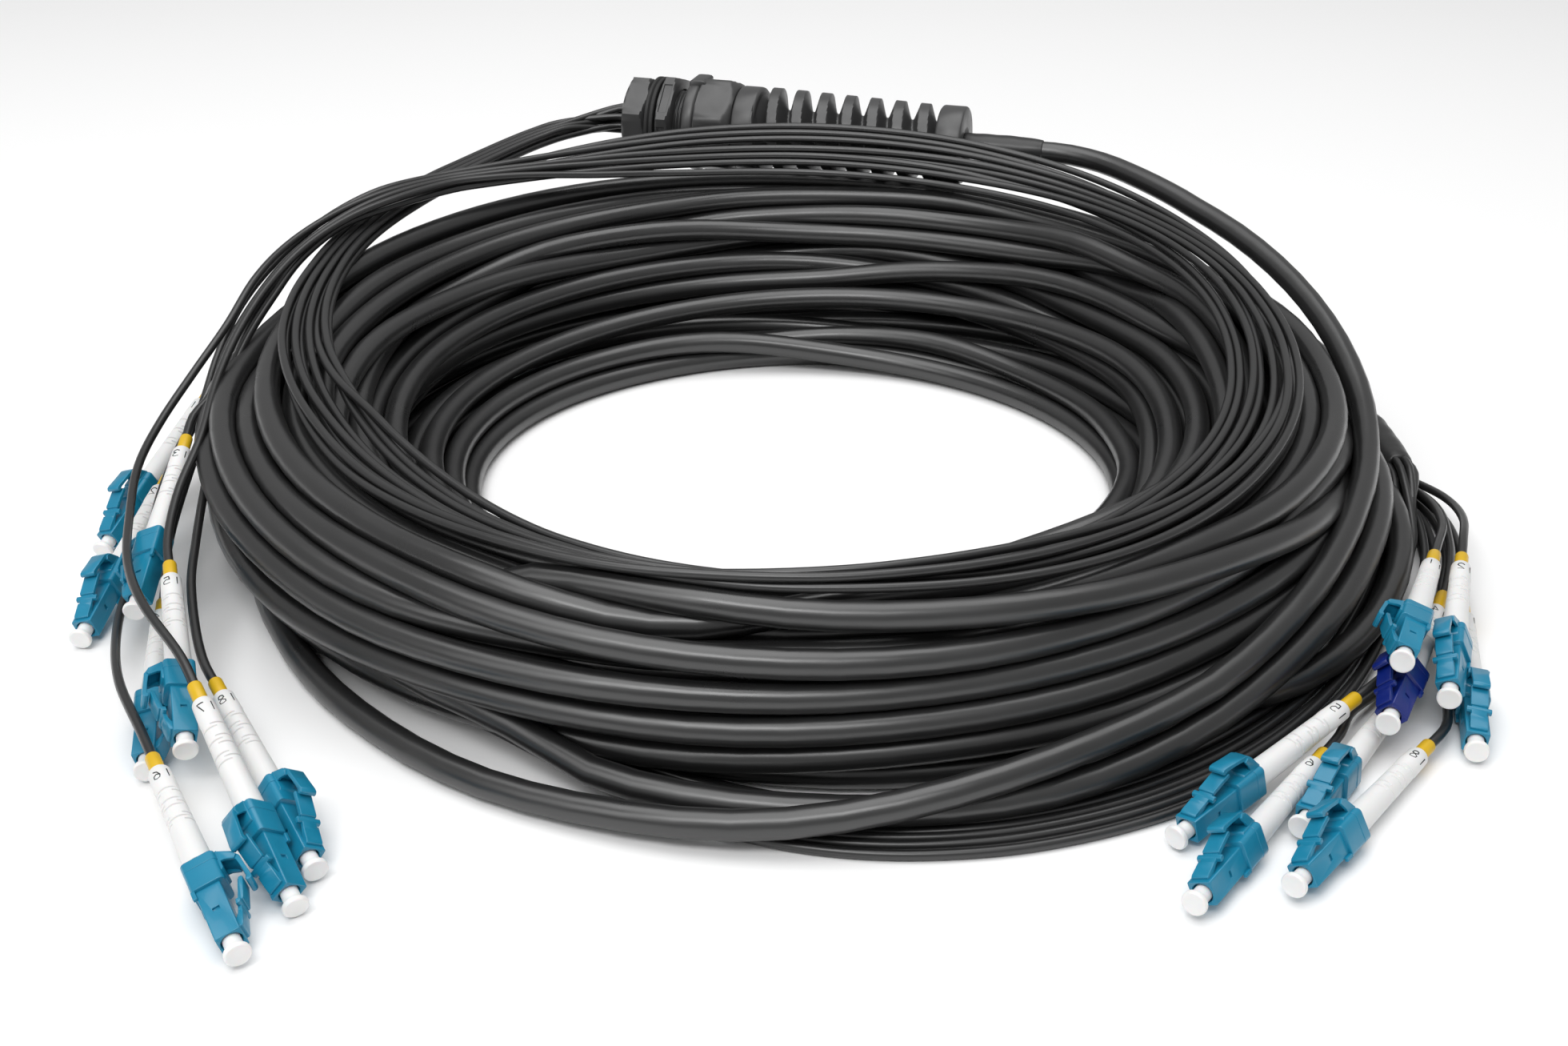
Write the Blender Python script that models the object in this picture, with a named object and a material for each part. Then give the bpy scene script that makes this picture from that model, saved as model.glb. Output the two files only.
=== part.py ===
"""Fibre breakout cable: a coiled trunk, a gland at one end, a divider at the other, and eight legs with plugs on each."""

import math

import bmesh
import bpy
import numpy as np
from mathutils import Matrix, Vector

# All sizes are in millimetres and become metres where a mesh is made
MM = 0.001
GAP = 0.3  # air kept between pieces that touch

# Cable
TRUNK_D = 6.0
LEG_D = 2.0
TUBE_D = 2.9  # yellow tube at the rear of a boot
STRAND = 6.0  # spacing of the trunk turns on the coil's surface
RIDGE = 1.4  # how deep the groove between two turns is
COIL_STEPS = 48
COIL_SECTION = [  # (radius, height) through the tops of the turns, from the inner foot over the crest
    (78.0, 3.0),
    (112.0, 39.6),
    (120.0, 41.8),
    (126.0, 40.6),
    (133.0, 32.6),
    (136.8, 20.0),
    (135.8, 8.0),
    (133.4, 3.2),
]
FLAT_IN = 80.0
FLAT_OUT = 130.0

# Leg bundles: four legs wide and two high
PITCH = 2.3
BUNDLE_W = 3 * PITCH + LEG_D + 0.4
BUNDLE_H = PITCH + LEG_D + 0.2

# Gland, measured along its axis from the leg end
GLAND_START = (-47.6, 146.5, 52.38)
GLAND_WAY = (0.9616, -0.2757, 0.0)
GLAND_ROLL = math.radians(8)
STEM_R = 9.8
BORE_R = STEM_R + GAP + 0.15
END_NUT = (0.0, 7.8, 24.0)  # start, end, across flats
WASHER = (8.0, 10.7, 13.4)  # start, end, radius
LOCKNUT = (11.1, 16.1, 26.0)
FLANGE = (19.7, 23.4, 13.6)
BODY_HEX = (23.0, 34.6, 26.0)
COLLAR = (34.9, 41.8, 12.5)
COIL_RINGS = [46.2, 54.0, 61.6, 69.2, 76.6, 84.3, 91.6]
RING_R = (12.6, 11.3)  # first and last ring of the bend guard
NECK_R = 6.8
TIP_W = 2.9
ROOT_W = 4.6
END_COLLAR = (96.6, 104.0, 11.3)
SLEEVE = (104.3, 127.0, 3.9)

# Divider, from the trunk side to the leg side
DIVIDER_ENDS = ((148.5, 18.2, 9.3), (149.8, -11.6, 8.6))
DIVIDER_R = 4.5

# Plug, along its own axis: the nose is at zero and the cable leaves to minus
NOSE = 4.6
HOUSING = 6.0
CAP_R = 2.4
PIN_R = 1.6
BOOT = [(-20.3, 2.7), (-33.0, 2.4), (-49.0, 2.05)]
TUBE_END = -54.0

# Each plug: nose, a point behind it on its axis, and the side its latch faces
PLUGS = {
    "L1": ((-158.6, -40.0, 3.6), (-146.0, 9.6, 20.2), (-0.3, 0.0, 1.0)),
    "L2": ((-151.0, -80.4, 3.4), (-147.0, -27.6, 14.0), (-0.25, 0.0, 1.0)),
    "L3": ((-136.7, -85.7, 13.5), (-139.0, -33.5, 27.0), (-1.0, 0.0, -0.4)),
    "L4": ((-123.1, -130.0, 3.4), (-134.5, -77.4, 8.3), (1.0, 0.0, 0.2)),
    "L5": ((-114.2, -132.4, 10.0), (-130.1, -81.8, 20.0), (-1.0, 0.0, 0.3)),
    "L6": ((-92.8, -183.7, 3.6), (-119.2, -136.9, 8.8), (1.0, 0.4, 0.3)),
    "L7": ((-86.3, -170.5, 3.4), (-113.1, -125.9, 17.7), (-0.6, -0.5, 0.6)),
    "L8": ((-85.1, -160.6, 3.4), (-112.8, -115.1, 11.7), (0.8, -0.2, 0.8)),
    "R1": ((120.4, -115.2, 18.4), (141.7, -65.7, 13.3), (-1.0, 0.0, 0.3)),
    "R2": ((130.6, -115.2, 10.4), (148.4, -64.3, 12.8), (-0.6, -0.2, 1.0)),
    "R3": ((134.3, -123.3, 3.4), (148.0, -71.1, 3.9), (0.0, -0.3, 1.0)),
    "R4": ((116.3, -124.8, 10.4), (140.6, -76.6, 8.3), (-0.8, 0.0, 0.75)),
    "R5": ((72.7, -151.6, 3.4), (112.5, -115.2, 8.6), (-0.3, 0.0, 1.0)),
    "R6": ((71.8, -170.9, 3.7), (103.7, -127.3, 3.5), (-0.6, 0.0, 1.0)),
    "R7": ((95.4, -148.3, 3.4), (126.2, -104.0, 3.4), (-0.3, -0.3, 1.0)),
    "R8": ((90.2, -166.2, 3.8), (124.7, -124.6, 3.5), (-0.6, 0.2, 1.0)),
}

# Where each leg sits in its bundle: columns outward from the coil's axis, rows upward
SEATS = {
    "L1": (1.5, -0.5),
    "L6": (1.5, 0.5),
    "L2": (0.5, -0.5),
    "L7": (0.5, 0.5),
    "L4": (-0.5, -0.5),
    "L3": (-0.5, 0.5),
    "L8": (-1.5, -0.5),
    "L5": (-1.5, 0.5),
    "R6": (-1.5, -0.5),
    "R5": (-1.5, 0.5),
    "R7": (-0.5, -0.5),
    "R1": (-0.5, 0.5),
    "R8": (0.5, -0.5),
    "R4": (0.5, 0.5),
    "R3": (1.5, -0.5),
    "R2": (1.5, 0.5),
}

# Bundle routes as (angle in degrees, radius, height)
LEFT_BUNDLE = [
    (112.0, 157.5, 52.0),
    (119.0, 154.0, 50.8),
    (130.0, 143.0, 48.0),
    (142.0, 134.0, 47.0),
    (155.0, 127.0, 46.0),
    (170.0, 121.0, 45.0),
    (185.0, 117.0, 44.3),
    (205.0, 113.5, 43.8),
    (230.0, 112.0, 43.7),
    (270.0, 112.0, 43.7),
    (310.0, 112.0, 43.7),
    (350.0, 112.0, 43.7),
    (390.0, 112.0, 44.3),
    (410.0, 111.0, 45.3),
    (430.0, 109.0, 46.0),
    (450.0, 109.5, 46.5),
    (465.0, 112.5, 48.0),
    (480.0, 117.5, 50.0),
    (492.0, 122.5, 51.5),
    (500.0, 127.0, 52.0),
    (502.0, 127.9, 52.0),
]
RIGHT_BUNDLE = [
    (-9.0, 149.3, 6.0),
    (-14.0, 148.2, 3.6),
    (-20.0, 147.0, 2.6),
    (-35.0, 148.0, 2.6),
    (-50.0, 151.0, 2.6),
    (-70.0, 155.0, 2.6),
    (-90.0, 156.0, 2.6),
    (-100.0, 154.0, 2.6),
    (-115.0, 147.5, 2.6),
    (-130.0, 143.0, 2.6),
    (-150.0, 141.2, 2.6),
    (-180.0, 140.9, 2.6),
    (-225.0, 140.9, 2.6),
    (-270.0, 140.9, 2.6),
    (-300.0, 140.9, 2.6),
    (-324.0, 140.6, 2.6),
    (-326.0, 140.6, 2.6),
]

# Leg routes between the bundle's end and the boot
LEGS = {
    "L1": [(-114, 71, 50.8), (-127, 58, 43), (-138, 42, 33)],
    "L2": [(-113, 68.5, 50.8), (-124, 57, 45.5), (-134.5, 42, 38), (-139.5, 25, 29.5), (-143, 7, 22.5),
           (-146, -12, 17.5)],
    "L3": [(-109, 65, 53.3), (-119, 52.5, 51.2), (-128.2, 37, 46.8), (-133.5, 20, 42), (-137.3, 0, 35.5),
           (-137.2, -18, 30.8)],
    "L4": [(-110.5, 67, 51.1), (-121.5, 55.5, 48.8), (-131, 41.5, 41.5), (-136.5, 25, 36), (-139.3, 10, 28.5),
           (-141.3, -8, 21), (-141.5, -28, 15.5), (-140, -50, 11.5), (-137.3, -66, 9.5)],
    "L5": [(-106.5, 63, 53.3), (-116.5, 50.5, 52), (-125, 36, 49), (-130.5, 20, 45), (-134, 0, 39.8),
           (-134.8, -20, 34.8), (-133.6, -40, 30), (-134.3, -58, 25.2)],
    "L6": [(-112.5, 69.5, 53.3), (-125, 57, 49), (-135, 42, 42.5), (-140.5, 24, 36.5), (-142.5, 8, 30),
           (-143, -8, 23.7), (-144.5, -25, 19.8), (-145, -40, 15.3), (-143.5, -58, 10.2), (-143.5, -75, 8),
           (-140, -92, 8.5), (-133, -112, 10)],
    "L7": [(-111, 67.3, 53.3), (-121.5, 54.5, 51.5), (-130, 40, 48.5), (-135, 24, 45), (-139, 8, 38.5),
           (-144.5, -6, 31.5), (-148.5, -22, 26), (-149, -39, 23), (-145, -60, 21), (-138, -84, 21.5),
           (-129, -103, 22.5)],
    "L8": [(-107.5, 64.5, 50.8), (-117.2, 52, 50.2), (-125.5, 36, 46.5), (-129.9, 20, 41.7), (-133.2, 0, 36.4),
           (-134, -20, 30.4), (-132.5, -36, 25.6), (-131, -52, 21), (-128.8, -68, 17.5), (-125.5, -84, 16)],
    "R1": [(158.2, 0, 3.75), (156.7, -21, 6.5), (150.7, -42, 10)],
    "R2": [(163, 0, 4.5), (160, -22.5, 6.9), (155.6, -40, 10.6)],
    "R3": [(162.8, 0, 1.45), (160.8, -22.6, 1.45), (156.2, -41.5, 1.6), (152.8, -54, 2.7)],
    "R4": [(160.5, 0, 3.75), (158.9, -22.4, 4.4), (153, -44, 5.8), (149, -57, 7.2)],
    "R5": [(155.9, 0, 3.75), (153.9, -21.6, 3.75), (148, -42.5, 3.75), (140.4, -64, 3.75), (133, -81, 3.75),
           (127.5, -92, 4.2), (122.8, -101.3, 6.2)],
    "R6": [(155.9, 0, 1.35), (153.9, -21.6, 1.35), (148.2, -42.5, 1.35), (140.8, -64, 1.35), (133.5, -81, 1.35),
           (127.5, -93, 1.35), (120.3, -103.3, 2), (112.6, -112.5, 3.1)],
    "R7": [(158.3, 0, 1.35), (156.2, -22, 1.35), (150.6, -43, 1.35), (143.4, -63, 1.35), (138.4, -77, 1.4),
           (134.2, -88.5, 2.4)],
    "R8": [(160.6, 0, 1.35), (158.5, -22.3, 1.35), (153.2, -43, 1.35), (147.1, -60, 1.35), (142.3, -77, 1.35),
           (139.2, -88.5, 1.35), (136.2, -99, 1.35), (133.3, -109, 2.2)],
}
R_FAN = [(24.0, 144.4), (16.0, 151.0), (8.0, 157.4)]  # angle and radius of the right legs' middle

# Trunk tails
GLAND_TAIL = [(107, 107, 46.5), (122, 92, 41), (137, 75, 34), (146, 55, 28), (148.5, 34, 25), (144.8, 8, 23.2),
              (140.2, -25, 22.5), (128.5, -60, 21.5), (108, -91, 18), (81, -116, 12.5), (65, -125.3, 11),
              (48, -132, 9.5), (33, -135.9, 8.6), (18, -138.3, 8)]
DIVIDER_TAIL = [(46, 139.3, 9.5), (38, 140.0, 9.5), (30, 141.6, 9.4), (22, 143.7, 9.4), (14.5, 146.8, 9.4)]

# Materials: colour, roughness, metallic
JACKET = ("black_jacket", (0.028, 0.029, 0.031), 0.42)
NYLON = ("black_nylon", (0.022, 0.023, 0.025), 0.38)
SHRINK = ("heat_shrink", (0.012, 0.012, 0.013), 0.5)
BLUE = ("blue_plastic", (0.030, 0.135, 0.300), 0.35)
WHITE = ("white_boot", (0.80, 0.80, 0.79), 0.5)


def clear_scene():
    for obj in list(bpy.data.objects):
        bpy.data.objects.remove(obj, do_unlink=True)


def material(look):
    name, colour, rough = look
    found = bpy.data.materials.get(name)
    if found:
        return found
    made = bpy.data.materials.new(name)
    made.use_nodes = True
    shader = made.node_tree.nodes["Principled BSDF"]
    shader.inputs["Base Color"].default_value = (*colour, 1.0)
    shader.inputs["Roughness"].default_value = rough
    shader.inputs["Metallic"].default_value = 0.0
    return made


def add_object(name, mesh, look, matrix=None):
    obj = bpy.data.objects.new(name, mesh)
    bpy.context.scene.collection.objects.link(obj)
    if not mesh.materials:
        mesh.materials.append(material(look))
    if matrix is not None:
        obj.matrix_world = matrix
    return obj


def smooth(mesh, degrees=35):
    mesh.polygons.foreach_set("use_smooth", [True] * len(mesh.polygons))
    mesh.set_sharp_from_angle(angle=math.radians(degrees))


def hide(obj):
    obj.hide_render = True
    obj.display_type = "WIRE"
    return obj


def boolean(obj, other, operation):
    modifier = obj.modifiers.new(other.name, "BOOLEAN")
    modifier.operation = operation
    modifier.object = other
    modifier.solver = "EXACT"
    hide(other)


# Curves through points
def smooth_route(points, step):
    """Points about one step apart on a smooth curve through the given points."""
    knots = [Vector(p) for p in points]
    knots = [2 * knots[0] - knots[1], *knots, 2 * knots[-1] - knots[-2]]
    dense = []
    for i in range(1, len(knots) - 2):
        dense += span(knots[i - 1 : i + 3])
    dense.append(knots[-2])
    return even_steps(dense, step)


def led_route(points, step):
    """A smooth route whose first and last stretches stay straight."""
    return np.vstack([points[0], smooth_route(points[1:-1], step), points[-1]])


def span(four, count=16):
    """A centripetal Catmull-Rom stretch between the middle two of four points."""
    a, b, c, d = four
    t1 = (b - a).length ** 0.5
    t2 = t1 + (c - b).length ** 0.5
    t3 = t2 + (d - c).length ** 0.5
    out = []
    for i in range(count):
        t = t1 + (t2 - t1) * i / count
        ab = a.lerp(b, t / t1)
        bc = b.lerp(c, (t - t1) / (t2 - t1))
        cd = c.lerp(d, (t - t2) / (t3 - t2))
        abc = ab.lerp(bc, t / t2)
        bcd = bc.lerp(cd, (t - t1) / (t3 - t1))
        out.append(abc.lerp(bcd, (t - t1) / (t2 - t1)))
    return out


def even_steps(dense, step):
    pts = np.array([tuple(p) for p in dense])
    way = np.concatenate([[0.0], np.cumsum(np.linalg.norm(np.diff(pts, axis=0), axis=1))])
    count = max(2, round(way[-1] / step) + 1)
    at = np.linspace(0.0, way[-1], count)
    return np.stack([np.interp(at, way, pts[:, k]) for k in range(3)], axis=1)


def polar(angle, radius, height):
    turn = math.radians(angle)
    return (radius * math.cos(turn), radius * math.sin(turn), height)


# Solids
def turned_mesh(name, profile, steps, closed=False):
    """A profile of (radius, height) turned about the local Z axis."""
    bm = bmesh.new()
    verts = [bm.verts.new((r * MM, 0.0, z * MM)) for r, z in profile]
    ends = verts[1:] + verts[:1] if closed else verts[1:]
    edges = [bm.edges.new(pair) for pair in zip(verts, ends)]
    bmesh.ops.spin(
        bm,
        geom=verts + edges,
        axis=(0, 0, 1),
        cent=(0, 0, 0),
        angle=2 * math.pi,
        steps=steps,
        use_merge=True,
    )
    bmesh.ops.remove_doubles(bm, verts=bm.verts, dist=0.00001)
    bmesh.ops.recalc_face_normals(bm, faces=bm.faces)
    mesh = bpy.data.meshes.new(name)
    bm.to_mesh(mesh)
    bm.free()
    smooth(mesh)
    return mesh


def turned(name, profile, steps, look, matrix=None, closed=False):
    return add_object(name, turned_mesh(name, profile, steps, closed), look, matrix)


def hex_bar(name, start, end, across, roll, look, matrix):
    """A hexagonal bar along local Z with its corners broken at both ends."""
    bm = bmesh.new()
    corner = across / 2 / math.cos(math.pi / 6)
    rings = [(start, corner - 1.0), (start + 0.6, corner), (end - 0.6, corner), (end, corner - 1.0)]
    loops = []
    for z, radius in rings:
        loops.append([bm.verts.new(hex_corner(radius, roll, k, z)) for k in range(6)])
    for low, high in zip(loops, loops[1:]):
        for k in range(6):
            bm.faces.new((low[k], low[(k + 1) % 6], high[(k + 1) % 6], high[k]))
    bm.faces.new(loops[0][::-1])
    bm.faces.new(loops[-1])
    bmesh.ops.recalc_face_normals(bm, faces=bm.faces)
    mesh = bpy.data.meshes.new(name)
    bm.to_mesh(mesh)
    bm.free()
    return add_object(name, mesh, look, matrix)


def hex_corner(radius, roll, k, z):
    turn = roll + k * math.pi / 3
    return (radius * MM * math.cos(turn), radius * MM * math.sin(turn), z * MM)


def tube(name, route, diameter, look):
    """A round cord along the route, with filled ends."""
    curve = bpy.data.curves.new(name, "CURVE")
    curve.dimensions = "3D"
    curve.bevel_depth = diameter / 2 * MM
    curve.bevel_resolution = 2
    curve.use_fill_caps = True
    spline = curve.splines.new("POLY")
    spline.points.add(len(route) - 1)
    for point, place in zip(spline.points, route):
        point.co = (*[v * MM for v in place], 1.0)
    curve.materials.append(material(look))
    obj = bpy.data.objects.new(name, curve)
    bpy.context.scene.collection.objects.link(obj)
    return obj


def section_around(width, height):
    """Eight points of a bundle's section: a rectangle with its corners broken."""
    w = width / 2
    h = height / 2
    c = LEG_D / 2
    return [(w, c - h), (w, h - c), (w - c, h), (c - w, h), (-w, h - c), (-w, c - h), (c - w, -h), (w - c, -h)]


def bundle(name, route, look):
    """Eight legs lying side by side, as one upright section swept along the route."""
    section = section_around(BUNDLE_W, BUNDLE_H)
    bm = bmesh.new()
    loops = []
    for i, place in enumerate(route):
        along = Vector(route[min(i + 1, len(route) - 1)] - route[max(i - 1, 0)])
        side = along.cross(Vector((0, 0, 1))).normalized()
        above = side.cross(along).normalized()
        rim = [Vector(place) + side * a + above * b for a, b in section]
        loops.append([bm.verts.new(p * MM) for p in rim])
    for low, high in zip(loops, loops[1:]):
        for k in range(8):
            bm.faces.new((low[k], low[(k + 1) % 8], high[(k + 1) % 8], high[k]))
    bm.faces.new(loops[0][::-1])
    bm.faces.new(loops[-1])
    bmesh.ops.recalc_face_normals(bm, faces=bm.faces)
    mesh = bpy.data.meshes.new(name)
    bm.to_mesh(mesh)
    bm.free()
    smooth(mesh, 50)
    return add_object(name, mesh, look)


def sheet(name, outline, width, look):
    """A flat outline in local X and Z, given a width along Y."""
    bm = bmesh.new()
    near = [bm.verts.new((x * MM, -width / 2 * MM, z * MM)) for x, z in outline]
    far = [bm.verts.new((x * MM, width / 2 * MM, z * MM)) for x, z in outline]
    bm.faces.new(near)
    bm.faces.new(far[::-1])
    for k in range(len(outline)):
        n = (k + 1) % len(outline)
        bm.faces.new((near[k], far[k], far[n], near[n]))
    bmesh.ops.recalc_face_normals(bm, faces=bm.faces)
    mesh = bpy.data.meshes.new(name)
    bm.to_mesh(mesh)
    bm.free()
    return add_object(name, mesh, look)


# Frames
def gland_frame(s=0.0):
    """Local Z runs along the gland and local X points up."""
    way = Vector(GLAND_WAY).normalized()
    up = Vector((0, 0, 1))
    return frame(Vector(GLAND_START) + way * s, up, up.cross(way) * -1, way)


def frame(origin, x, y, z):
    x, y, z = x.normalized(), y.normalized(), z.normalized()
    if x.cross(y).dot(z) < 0:
        y = -y
    turn = Matrix((x, y, z)).transposed().to_4x4()
    return Matrix.Translation(origin * MM) @ turn


def plug_axes(key):
    nose, behind, hint = (Vector(v) for v in PLUGS[key])
    forward = (nose - behind).normalized()
    up = (hint - forward * hint.dot(forward)).normalized()
    return nose, forward, up


def plug_frame(key):
    nose, forward, up = plug_axes(key)
    return frame(nose, forward, up.cross(forward), up)


# Pieces
def coil():
    profile = ridged(COIL_SECTION, STRAND)
    profile = [(FLAT_IN, 0.0), *profile, (FLAT_OUT, 0.0)]
    turned("trunk_coil", profile, COIL_STEPS, JACKET, closed=True)


def ridged(line, pitch):
    """A groove between each two turns, set along the line."""
    dense = even_steps([Vector((r, 0, z)) for r, z in line], pitch / 2)
    out = []
    for i, (r, _, z) in enumerate(dense):
        before = dense[max(i - 1, 0)]
        after = dense[min(i + 1, len(dense) - 1)]
        dr, dz = after[0] - before[0], after[2] - before[2]
        size = math.hypot(dr, dz)
        depth = RIDGE if i % 2 == 0 else 0.0
        out.append((r + dz / size * depth, z - dr / size * depth))
    return out


def gland():
    place = gland_frame()
    start, end, across = END_NUT
    nut = hex_bar("gland_end_nut", start, end, across, GLAND_ROLL, NYLON, place)
    hollow = [(0, start - 1), (6, start - 1), (6, start + 1.6), (BORE_R, start + 1.6), (BORE_R, end + 1), (0, end + 1)]
    boolean(nut, turned("cut_end_nut", hollow, 24, NYLON, place), "DIFFERENCE")
    washer()
    start, end, across = LOCKNUT
    nut = hex_bar("gland_locknut", start, end, across, GLAND_ROLL + math.radians(4), NYLON, place)
    hollow = [(0, start - 1), (BORE_R, start - 1), (BORE_R, end + 1), (0, end + 1)]
    boolean(nut, turned("cut_locknut", hollow, 24, NYLON, place), "DIFFERENCE")
    gland_body()
    turned("gland_dome_nut", dome_profile(), 18, NYLON, place)
    turned("gland_sleeve", sleeve_profile(), 12, SHRINK, place)


def washer():
    start, end, radius = WASHER
    groove = (start + end) / 2
    profile = [
        (BORE_R, start),
        (radius, start),
        (radius, groove - 0.4),
        (radius - 0.6, groove),
        (radius, groove + 0.4),
        (radius, end),
        (BORE_R, end),
    ]
    turned("gland_washer", profile, 24, NYLON, gland_frame(), closed=True)


def gland_body():
    place = gland_frame()
    start, end, across = BODY_HEX
    body = hex_bar("gland_body", start, end, across, GLAND_ROLL, NYLON, place)
    boolean(body, turned("add_stem", stem_profile(), 20, NYLON, place), "UNION")
    lug = [(12.0, 20.0), (12.0, 23.2), (15.0, 23.2), (15.8, 22.4), (15.8, 20.8), (15.0, 20.0)]
    block = sheet("add_lug", lug, 7.0, NYLON)
    block.matrix_world = place
    boolean(body, block, "UNION")


def stem_profile():
    start, end, radius = FLANGE
    thread = []
    for turn in range(3):
        s = 16.5 + turn * 1.1
        thread += [(STEM_R - 0.7, s), (STEM_R, s + 0.5)]
    rim = [(STEM_R - 0.6, start), (radius, start), (radius, end), (11.0, end + 0.8), (0, end + 0.8)]
    return [(0, 2.0), (STEM_R - 0.8, 2.0), (STEM_R, 2.8), *thread, *rim]


def dome_profile():
    start, end, radius = COLLAR
    profile = [(0, start), (radius - 0.6, start), (radius, start + 0.8), (radius, end - 1.0), (radius - 0.8, end)]
    profile.append((NECK_R, end + 0.6))
    last = len(COIL_RINGS) - 1
    for i, s in enumerate(COIL_RINGS):
        r = RING_R[0] + (RING_R[1] - RING_R[0]) * i / last
        profile += [(NECK_R, s - ROOT_W / 2), (r, s - TIP_W / 2), (r, s + TIP_W / 2), (NECK_R, s + ROOT_W / 2)]
    start, end, radius = END_COLLAR
    profile += [(NECK_R, start - 0.4), (radius - 0.4, start), (radius, end - 0.8), (radius - 0.8, end), (0, end)]
    return profile


def sleeve_profile():
    start, end, radius = SLEEVE
    return [(0, start), (radius, start), (radius, end - 6), (radius - 0.5, end), (0, end)]


def divider():
    first, last = (Vector(p) for p in DIVIDER_ENDS)
    way = last - first
    size = way.length
    up = Vector((0, 0, 1))
    r = DIVIDER_R
    profile = [(0, 0), (r - 1.0, 0), (r - 0.6, 5), (r, 8), (r, size - 5), (r - 0.4, size), (0, size)]
    turned("divider", profile, 16, SHRINK, frame(first, up, up.cross(way), way))


def tails():
    begin = Vector(GLAND_START) + Vector(GLAND_WAY) * (SLEEVE[1] + GAP)
    route = [begin, begin + Vector(GLAND_WAY) * 8, *GLAND_TAIL]
    tube("trunk_gland_tail", led_route(route, 12.0), TRUNK_D, JACKET)
    first, last = (Vector(p) for p in DIVIDER_ENDS)
    way = (last - first).normalized()
    route = [*(polar(*p) for p in DIVIDER_TAIL), first - way * 5, first - way * GAP]
    tube("trunk_divider_tail", led_route(route, 9.0), TRUNK_D, JACKET)


def left_route():
    way = Vector(GLAND_WAY)
    begin = Vector(GLAND_START) - way * GAP
    return led_route([begin, begin - way * 4, *(polar(*p) for p in LEFT_BUNDLE)], 15.0)


def right_route():
    first, last = (Vector(p) for p in DIVIDER_ENDS)
    way = (last - first).normalized()
    return led_route([last + way * GAP, last + way * 4, *(polar(*p) for p in RIGHT_BUNDLE)], 16.0)


def leg_start(key, route):
    """The leg's first two points: at its seat in the bundle's end, and a little farther on."""
    ahead = Vector(route[-1] - route[-2]).normalized()
    side = ahead.cross(Vector((0, 0, 1))).normalized()
    above = side.cross(ahead)
    if side.dot(Vector(route[-1])) < 0:
        side = -side
    column, row = SEATS[key]
    place = Vector(route[-1]) + side * column * PITCH + above * row * PITCH
    return [place + ahead * GAP, place + ahead * 6]


def right_fan(key):
    column, row = SEATS[key]
    return [polar(a, r + column * PITCH, RIGHT_BUNDLE[-1][2] + row * PITCH) for a, r in R_FAN]


def leg(key, route):
    nose, forward, _ = plug_axes(key)
    end = [nose + forward * (TUBE_END - 8), nose + forward * (TUBE_END - GAP)]
    fan = right_fan(key) if key.startswith("R") else []
    tube(f"leg_{key}", led_route([*leg_start(key, route), *fan, *LEGS[key], *end], 9.0), LEG_D, JACKET)


def box(name, size, middle, cut):
    """A block with its long edges broken."""
    w, h = size[1] / 2, size[2] / 2
    outline = [(w, cut - h), (w, h - cut), (w - cut, h), (cut - w, h), (-w, h - cut), (-w, cut - h)]
    outline += [(cut - w, -h), (w - cut, -h)]
    obj = sheet(name, outline, size[0], BLUE)
    obj.matrix_world = Matrix.Translation(Vector(middle) * MM) @ Matrix.Rotation(math.pi / 2, 4, "Z")
    return obj


def plug_mesh():
    """One moulded plug with its latch, its trigger and the dust cap pushed on its nose."""
    body = box("plug", (13.0, NOSE, NOSE), (-6.5, 0, 0), 0.5)
    collar = box("add_collar", (7.5, HOUSING, HOUSING + 0.2), (-16.25, 0, 0.2), 0.9)
    latch = [(-0.5, 1.2), (-0.5, 2.3), (-1.3, 2.9), (-11.5, 5.7), (-11.5, 4.9), (-2.9, 2.5), (-2.9, 1.2)]
    lugs = [(-4.4, 2.95), (-4.4, 3.7), (-6.2, 4.2), (-6.2, 3.45)]
    arch = [(-19.6, 2.6), (-19.6, 3.7), (-16.6, 6.9), (-10.2, 7.3), (-10.2, 6.5), (-16.1, 6.1), (-17.8, 3.9), (-17.8, 2.6)]
    pieces = [collar, sheet("add_latch", latch, 3.2, BLUE), sheet("add_lugs", lugs, 4.5, BLUE)]
    pieces += [sheet("add_trigger", arch, 3.6, BLUE), cap()]
    for piece in pieces:
        boolean(body, piece, "UNION")
    bpy.context.view_layer.update()
    graph = bpy.context.evaluated_depsgraph_get()
    mesh = bpy.data.meshes.new_from_object(body.evaluated_get(graph))
    mesh.transform(body.matrix_world)
    for obj in [body, *pieces]:
        bpy.data.objects.remove(obj, do_unlink=True)
    mesh.materials.clear()
    return mesh


def cap():
    profile = [(0, -1.0), (PIN_R, -1.0), (PIN_R, 2.5), (CAP_R, 2.5), (CAP_R, 3.6), (0, 3.6)]
    return turned("add_cap", profile, 10, BLUE, Matrix.Rotation(math.pi / 2, 4, "Y"))


def boot_mesh():
    """The boot with the yellow tube in its end, along local Z to minus."""
    profile = [(0, BOOT[0][0])] + [(r, x) for x, r in BOOT]
    profile += [(TUBE_D / 2, BOOT[-1][0]), (TUBE_D / 2, TUBE_END), (0, TUBE_END)]
    return turned_mesh("boot", profile, 10)


def plugs():
    mesh = plug_mesh()
    boot = boot_mesh()
    for key in PLUGS:
        place = plug_frame(key)
        add_object(f"plug_{key}", mesh, BLUE, place)
        add_object(f"boot_{key}", boot, WHITE, place @ Matrix.Rotation(math.pi / 2, 4, "Y"))


clear_scene()
coil()
gland()
divider()
tails()
left = left_route()
right = right_route()
bundle("leg_bundle_left", left, JACKET)
bundle("leg_bundle_right", right, JACKET)
for name in PLUGS:
    leg(name, left if name.startswith("L") else right)
plugs()
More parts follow.
